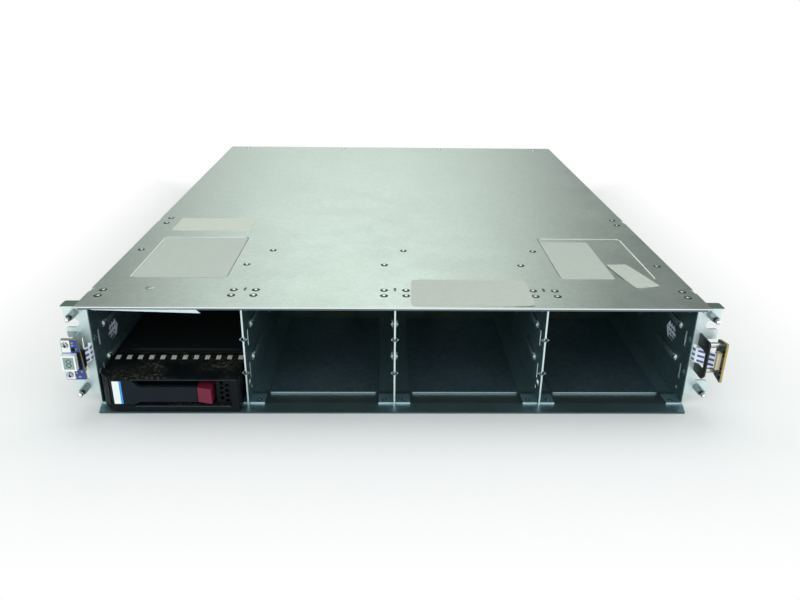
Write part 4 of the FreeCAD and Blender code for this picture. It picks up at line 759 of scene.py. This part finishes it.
def grow(name, tree, points, body, slot, **values):
    """Run a tree on points (millimetres) and keep what it makes as a plain mesh."""
    seed = bpy.data.meshes.new(name)
    seed.from_pydata([Vector(p) * MM for p in points], [], [])
    piece = bpy.data.objects.new(name, seed)
    bpy.context.scene.collection.objects.link(piece)
    modifier = piece.modifiers.new("grow", "NODES")
    modifier.node_group = tree
    for item in tree.interface.items_tree:
        if item.in_out == "INPUT" and item.name.replace(" ", "_") in values:
            modifier[item.identifier] = values[item.name.replace(" ", "_")]
    ready = piece.evaluated_get(bpy.context.evaluated_depsgraph_get())
    mesh = bpy.data.meshes.new_from_object(ready)
    piece.modifiers.clear()
    piece.data = mesh
    mesh.name = name
    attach(piece, body)
    print("%s: %d faces on %d points" % (name, len(mesh.polygons), len(points)))
    return piece


# %% Head trees
TURN_UP, TURN_REAR, TURN_FRONT = (0, 0, 0), (-math.pi / 2, 0, 0), (math.pi / 2, 0, 0)
TURN_RIGHT, TURN_LEFT = (0, math.pi / 2, 0), (0, -math.pi / 2, 0)
HEAD_SIZES = [("Radius", "Float", 0.0023), ("Top Radius", "Float", 0.0014), ("Height", "Float", 0.0006),
              ("Turn", "Vector", (0, 0, 0)), ("Finish", "Material", None)]
RECESS_LONG, RECESS_WIDE = 1.15, 0.26


def head_shape(tree, given):
    return add(tree, "GeometryNodeMeshCone", {"Vertices": 24, "Radius Bottom": given["Radius"],
                                              "Radius Top": given["Top Radius"], "Depth": given["Height"]})


def set_on_points(tree, given, shape):
    placed = add(tree, "GeometryNodeInstanceOnPoints", {"Points": given["Points"], "Instance": shape,
                                                        "Rotation": given["Turn"]})
    close_tree(tree, placed, given["Finish"])


head_tree, given = new_tree("tapered_heads", HEAD_SIZES)
set_on_points(head_tree, given, head_shape(head_tree, given))

screw_tree, given = new_tree("cross_head_screws", HEAD_SIZES)
made = work_out(screw_tree, (
    ("long", "MULTIPLY", "radius", RECESS_LONG), ("wide", "MULTIPLY", "radius", RECESS_WIDE),
), radius=given["Radius"])
size = add(screw_tree, "ShaderNodeCombineXYZ", {0: made["long"], 1: made["wide"], 2: given["Height"]})
bar = add(screw_tree, "GeometryNodeMeshCube", {"Size": size})
crossed = add(screw_tree, "GeometryNodeTransform", {"Geometry": bar, "Rotation": (0, 0, math.pi / 2)})
cross = add(screw_tree, "GeometryNodeJoinGeometry", {0: bar})
feed(screw_tree, cross, {0: crossed})
lift = add(screw_tree, "ShaderNodeCombineXYZ", {2: given["Height"]})
recess = add(screw_tree, "GeometryNodeTransform", {"Geometry": cross, "Translation": lift})
cut = add(screw_tree, "GeometryNodeMeshBoolean", {"Mesh 1": head_shape(screw_tree, given), "Mesh 2": recess},
          operation="DIFFERENCE")
set_on_points(screw_tree, given, cut)


def heads(name, tree, points, body, radius, top, height, turn=TURN_UP, finish=plated, slot="bright_steel"):
    """Heads of one size, in millimetres, set on points."""
    return grow(name, tree, points, body, slot, Radius=radius * MM, Top_Radius=top * MM, Height=height * MM,
                Turn=turn, Finish=finish)


# %% [markdown]
# ## Cover rivets
# The cover is riveted to the flanges below it in fours along each divider, and along both sides. Each rivet
# is two heads on the same spot: a dark rim in blackened steel, which is painted shade round the head, and a
# bright set centre. The feet of the dividers and of the right wall are held down by smaller rivets of the same
# kind, their dark rims painted shade too.

# %% Rivets
DIVIDERS = (-111.0, 0.0, 111.0)
RIVET_OFFSET, RIVET_ROWS, TAB_ROWS = 8.1, (5.5, 16.0), (70.0, 105.0)
SIDE_ROWS, SIDE_X = (4.0, 15.0, 182.0, 198.0), 214.6
spots = []
for x in DIVIDERS:
    spots += [(x + side * RIVET_OFFSET, y) for side in (-1, 1) for y in RIVET_ROWS]
    spots += [(x - RIVET_OFFSET, TAB_ROWS[0]), (x + RIVET_OFFSET, TAB_ROWS[1])]
for side in (-1, 1):
    spots += [(side * SIDE_X, y) for y in SIDE_ROWS]
    spots.append((side * SIDE_X, TAB_ROWS[0] if side > 0 else TAB_ROWS[1]))
# Dark blackened rims: painted shade round each rivet head.
rims = heads("rivet_rims", head_tree, [(*spot, cover_top) for spot in spots], "chassis", 3.0, 2.4, 0.35,
             finish=blackened)
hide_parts("cover_rivets")
heads("rivet_centres", head_tree, [(*spot, cover_top + 0.3) for spot in spots], "chassis", 1.8, 1.1, 0.4)

FOOT_ROW, FOOT_X = 2.2, (-103.4, -7.6, 7.6, 103.4, 118.6, 214.4)
foot_top = mm_box("bay_floor_plates")[1][2]
# Dark blackened rims: painted shade round each foot rivet head.
heads("foot_rivet_rims", head_tree, [(x, FOOT_ROW, foot_top) for x in FOOT_X], "chassis", 1.9, 1.5, 0.3,
      finish=blackened)
heads("foot_rivet_centres", head_tree, [(x, FOOT_ROW, foot_top + 0.25) for x in FOOT_X], "chassis",
      1.3, 0.7, 0.5)

# %% [markdown]
# ## Rib noses and louvre hood
# Each guide rib starts in a pressed nose that carriers have polished, and a small louvre at the cover's left
# front has a hood. Both are flattened domes, which catch the light from any side.

# %% Rib noses
pip_tree, given = new_tree("polished_pips", [("Radius", "Float", 0.002), ("Flatten", "Vector", (0.5, 1, 1)),
                                             ("Finish", "Material", None)])
ball = add(pip_tree, "GeometryNodeMeshUVSphere", {"Segments": 16, "Rings": 10, "Radius": given["Radius"]})
smooth = add(pip_tree, "GeometryNodeSetShadeSmooth", {"Geometry": ball})
pips = add(pip_tree, "GeometryNodeInstanceOnPoints", {"Points": given["Points"], "Instance": smooth,
                                                      "Scale": given["Flatten"]})
close_tree(pip_tree, pips, given["Finish"])
NOSE_Y, NOSE_ROWS, NOSE_OUT = 21.5, (30.2, 58.0), 1.7
HALF_WALL, WALL_IN = 0.6, 221.4
nose_planes = [x + side * (HALF_WALL + NOSE_OUT) for x in DIVIDERS for side in (-1, 1)]
nose_planes += [NOSE_OUT - WALL_IN, WALL_IN - NOSE_OUT]
noses = [(x, NOSE_Y, z) for x in nose_planes for z in NOSE_ROWS]
grow("rib_noses", pip_tree, noses, "chassis", "bright_steel", Radius=2.0 * MM, Flatten=(0.45, 1, 1),
     Finish=plated)
LOUVRE_AT = (-181.5, 19.0, cover_top)
grow("louvre_hood", pip_tree, [LOUVRE_AT], "chassis", "galvanised_cover", Radius=3.8 * MM,
     Flatten=(1, 0.8, 0.15), Finish=galvanised_cover)

# %% [markdown]
# ## Screws and side rivets
# Rivets hold the tub's flanks, and cross-head screws hold the cover's rear edge, the modules, the small board
# and the drive's lid. They all come from the two trees above, with other sizes and turns.

# %% Screws
MODULE_REAR, SIDE_FACE = 547.5, 224.1
MODULES = (("lower", 1.6), ("upper", 44.6))
flank = [(y, z) for y in (60, 200, 340, 480) for z in (10, 76)]
for name, sign, turn in (("left_flank_rivets", -1, TURN_LEFT), ("right_flank_rivets", 1, TURN_RIGHT)):
    heads(name, head_tree, [(sign * SIDE_FACE, y, z) for y, z in flank], "chassis", 2.4, 1.3, 0.8, turn)
rear_edge = [(x, 538, cover_top) for x in (-200, -67, 67, 200)]
heads("cover_rear_screws", screw_tree, rear_edge, "chassis", 3.0, 2.2, 0.6)
for name, hand in (("left", -1), ("right", 1)):
    corners = [(hand * x, MODULE_REAR, z) for x, z in ((123.5, 80), (217.8, 80), (123.5, 22), (217.8, 22))]
    heads(name + "_power_screws", screw_tree, corners, name + "_power_module", 2.6, 2.0, 1.0, TURN_REAR)
for name, low in MODULES:
    ends = [(x, MODULE_REAR, low + 34) for x in (-110, -44, 60, 110)]
    heads(name + "_io_screws", screw_tree, ends, name + "_io_module", 2.4, 1.8, 1.0, TURN_REAR)
board_front = mm_box("display_board")[0][1]
screws = heads("display_screws", screw_tree, [(-235.0, board_front, z) for z in (34.0, 58.0)], "chassis",
               2.6, 2.0, 1.2, TURN_FRONT)
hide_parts("display_board_screws")
lid_top = mm_box("disk_drive")[1][2] - 0.35
lid_rows = [(x, y) for x in (-208.5, -166.5) for y in (45, 100, 165)] + [(-124.5, 45), (-124.5, 100)]
heads("drive_lid_screws", screw_tree, [(x, y, lid_top) for x, y in lid_rows], "drive", 2.2, 1.8, 0.3)

# %% [markdown]
# ## Left ear board
# The left ear carries a small board with one digit. The digit is a seven-segment display that is switched
# off, so its bars are only a shade darker than the pane. Each bar is a six-cornered plate.

# %% Digit display
low, high = mm_box("digit_display")
front = low[1]
PANE_RIM = 1.2
pane = rounded(low[0] + PANE_RIM, low[2] + PANE_RIM, high[0] - PANE_RIM, high[2] - PANE_RIM, 0.3)
plates("digit_pane", [pane], "xz", front + 0.15, front + 0.3, pane_grey, "chassis")
SEGMENT_LONG, SEGMENT_WIDE, SEGMENT_PITCH = 2.6, 0.7, 2.6 * 1.12
centre = ((low[0] + high[0]) / 2, (low[2] + high[2]) / 2)
a, b = SEGMENT_LONG / 2 - 0.12, SEGMENT_WIDE / 2
bar = [(-a, 0), (-a + b, -b), (a - b, -b), (a, 0), (a - b, b), (-a + b, b)]
lying = [(0, v, False) for v in (-1, 0, 1)]
standing = [(u, v, True) for u in (-0.5, 0.5) for v in (-0.5, 0.5)]
bars = []
for u, v, upright in lying + standing:
    x, z = centre[0] + u * SEGMENT_PITCH, centre[1] + v * SEGMENT_PITCH
    bars.append([(x + (q if upright else p), z + (p if upright else q)) for p, q in bar])
plates("digit_bars", bars, "xz", front + 0.08, front + 0.15, bar_grey, "chassis")
print(len(bars), "display bars made")

# %% [markdown]
# ## Parts on the boards
# Pads, chips and a printed white field are thin plates on the left board's face. The right ear's board is
# seen edge on, with chips on its inner face, lamp lenses on its outer face and two screws in its bracket.

# %% Board parts
fields = [rounded(-237.7, z0, -231.6, z1, 0.4) for z0, z1 in ((30.4, 38.8), (52.0, 61.6))]
plates("display_white_field", fields, "xz", board_front - 0.05, board_front, white_abs, "chassis")
PADS = (  # centre, width, height
    (-229.9, 59.6, 1.6, 1.0), (-229.9, 57.6, 1.6, 1.0), (-227.9, 54.6, 1.0, 1.6), (-230.3, 35.4, 1.2, 1.2),
    (-228.2, 32.4, 1.8, 1.4), (-226.4, 36.6, 1.0, 1.4), (-231.0, 31.6, 1.0, 0.9))
plates("display_pads", [around(*pad, 0.2) for pad in PADS], "xz", board_front - 0.12, board_front, gold,
       "chassis")
chips = [rounded(-227.2, 38.6, -225.4, 52.4, 0.2), rounded(-230.6, 53.4, -228.6, 55.6, 0.2)]
plates("display_chips", chips, "xz", board_front - 1.3, board_front, black_abs, "chassis",
       bevel=0.15)
led_inner, led_outer = (corner[0] for corner in mm_box("led_board"))
LED_CHIPS = (
    (-18.6, 34.0, 1.2, 2.0), (-18.6, 38.0, 1.2, 1.2), (-18.6, 41.0, 1.2, 1.2), (-18.6, 51.5, 1.2, 1.2),
    (-18.6, 55.0, 1.2, 2.0), (-8.6, 40.0, 1.6, 3.0), (-8.6, 48.0, 1.6, 3.0))
plates("led_chips", [around(*chip, 0.15) for chip in LED_CHIPS], "yz", led_inner - 0.8, led_inner, black_abs,
       "chassis", bevel=0.12)
heads("led_lenses", head_tree, [(led_outer, -17.5, z) for z in (36, 42, 48, 54)], "chassis", 1.3, 0.8, 0.9,
      TURN_RIGHT, lens_green, "white_plastic")
stand_low, stand_high = mm_box("led_board_standoffs")
bracket_face = mm_box("led_bracket")[0][0]
stand_radius = (stand_high[1] - stand_low[1]) / 2
stands = [(bracket_face, stand_low[1] + stand_radius, z)
          for z in (stand_low[2] + stand_radius, stand_high[2] - stand_radius)]
heads("led_bracket_screws", screw_tree, stands, "chassis", 1.5, 1.2, 0.6, TURN_LEFT)

# %% [markdown]
# ## Drive carrier trim
# The lever's panel has a blank label with a blue band, and thin half-round ridges frame the recess. The label
# rides on the lever, and the ridges on the carrier.

# %% Lever label and ridges
lever_low, lever_high = mm_box("eject_lever")
face, left = lever_low[1], lever_low[0] + 2.2
bottom, top = lever_low[2] + 0.7, lever_high[2] - 0.7
for name, x0, x1, radius, material in (("lever_label", left, left + 5.0, 0.3, lever_film),
                                       ("lever_label_band", left + 5.0, left + 6.6, 0.2, label_blue)):
    plates(name, [rounded(x0, bottom, x1, top, radius)], "xz", face - 0.1, face, material, "drive_lever")
bezel_low, bezel_high = mm_box("carrier_bezel")
RIDGES = (  # name, ends along X, height, radius
    ("recess_top_ridge", bezel_low[0] + 24.5, bezel_high[0] - 1.5, bezel_high[2] - 1.05, 0.4),
    ("recess_low_ridge", bezel_low[0] + 26.0, bezel_high[0] - 7.0, bezel_low[2] + 3.7, 0.55),
)
turns = [math.pi * k / 8 for k in range(9)]
for name, x0, x1, z, radius in RIDGES:
    outline = [(bezel_low[1] + 0.05 - radius * math.sin(a), z + radius * math.cos(a)) for a in turns]
    plates(name, [outline], "yz", x0, x1, ridge_abs, "drive", bevel=0.1)
print("carrier trim made")

# %% [markdown]
# ## Fan guards
# The back is not in the photograph, so it follows what such modules have. A wire guard in rings covers each
# fan. The tree sets circles of growing radius and sweeps a wire along them.

# %% Fan guards
guard_tree, given = new_tree("wire_rings", [("Rings", "Int", 4), ("First Radius", "Float", 0.008),
                                            ("Step", "Float", 0.004), ("Wire", "Float", 0.0004),
                                            ("Turn", "Vector", (0, 0, 0)), ("Finish", "Material", None)])
ring_points = add(guard_tree, "GeometryNodePoints", {"Count": given["Rings"]})
number = add(guard_tree, "GeometryNodeInputIndex")
made = work_out(guard_tree, [("radius", "MULTIPLY_ADD", "number", "step", "first")], number=number,
                step=given["Step"], first=given["First Radius"])
circle = add(guard_tree, "GeometryNodeCurvePrimitiveCircle", {"Resolution": 48, "Radius": 1.0})
rings = add(guard_tree, "GeometryNodeInstanceOnPoints", {"Points": ring_points, "Instance": circle,
                                                         "Scale": made["radius"]})
loose = add(guard_tree, "GeometryNodeRealizeInstances", {"Geometry": rings})
wire = add(guard_tree, "GeometryNodeCurvePrimitiveCircle", {"Resolution": 8, "Radius": given["Wire"]})
swept = add(guard_tree, "GeometryNodeCurveToMesh", {"Curve": loose, "Profile Curve": wire})
set_on_points(guard_tree, given, swept)
for name in ("left", "right"):
    spin = next(j for j in frame["joints"] if j["name"] == name + "_fan_spin")["pos_m"]
    hub = [(spin[0] / MM, MODULE_REAR - 0.5, spin[2] / MM)]
    for tail, count, first in (("_inner_guard", 3, 8.0), ("_outer_guard", 2, 21.6)):
        grow(name + tail, guard_tree, hub, name + "_power_module", "bright_steel", Rings=count,
             First_Radius=first * MM, Step=3.0 * MM, Wire=0.45 * MM, Turn=TURN_REAR, Finish=plated)

# %% [markdown]
# ## Port contacts and lamps
# Each cable port has a black tongue with a row of gilt contacts, and each drive socket has one long row. A
# tree lays out one row by its count and pitch, and sets the row on points. Small lenses sit above the ports.

# %% Contact rows
row_tree, given = new_tree("contact_rows", [("Count", "Int", 8), ("Pitch", "Float", 0.001),
                                            ("Blade", "Vector", (0.0004, 0.004, 0.0002)),
                                            ("Finish", "Material", None)])
made = work_out(row_tree, (
    ("gaps", "SUBTRACT", "count", 1.0), ("width", "MULTIPLY", "gaps", "pitch"),
    ("shift", "MULTIPLY", "width", -0.5),
), count=given["Count"], pitch=given["Pitch"])
start = add(row_tree, "ShaderNodeCombineXYZ", {0: made["shift"]})
step = add(row_tree, "ShaderNodeCombineXYZ", {0: given["Pitch"]})
line = add(row_tree, "GeometryNodeMeshLine", {"Count": given["Count"], "Start Location": start,
                                              "Offset": step}, mode="OFFSET")
blade = add(row_tree, "GeometryNodeMeshCube", {"Size": given["Blade"]})
row = add(row_tree, "GeometryNodeInstanceOnPoints", {"Points": line, "Instance": blade})
rows = add(row_tree, "GeometryNodeInstanceOnPoints", {"Points": given["Points"], "Instance": row})
close_tree(row_tree, rows, given["Finish"])

# %% Ports and sockets
PORTS = ((-0.53, 26.0), (-0.24, 26.0), (0.12, 16.0), (0.325, 16.0))  # share of the half width, width
io_half = mm_box("upper_io_case")[1][0]
for name, low in MODULES:
    body, z = name + "_io_module", low + 22
    tongues = [around(share * io_half, z, 0.6 * width, 1.6, 0.3) for share, width in PORTS]
    plates(name + "_port_tongues", tongues, "xz", MODULE_REAR - 14.6, MODULE_REAR - 3.5, black_abs, body,
           bevel=0.15)
    for tail, ports, count in (("_wide_contacts", PORTS[:2], 13), ("_narrow_contacts", PORTS[2:], 8)):
        spots = [(share * io_half, MODULE_REAR - 7.5, z + 0.85) for share, width in ports]
        grow(name + tail, row_tree, spots, body, "bright_steel", Count=count, Pitch=1.05 * MM,
             Blade=(0.55 * MM, 6.0 * MM, 0.16 * MM), Finish=gold)
    spots = [(x, MODULE_REAR, low + 34) for x in (-70, -62, -54, 14, 22, 30, 38)]
    heads(name + "_io_lamps", head_tree, spots, body, 1.5, 0.9, 0.8, TURN_REAR, lens_green, "white_plastic")
socket_face = mm_box("drive_sockets")[0][1]
bays = [(x, socket_face + 0.3, z) for x in (-166.5, -55.5, 55.5, 166.5) for z in (7.0, 34.8, 62.6)]
grow("drive_socket_contacts", row_tree, bays, "chassis", "bright_steel", Count=29, Pitch=1.27 * MM,
     Blade=(0.45 * MM, 0.7 * MM, 1.2 * MM), Finish=gold)
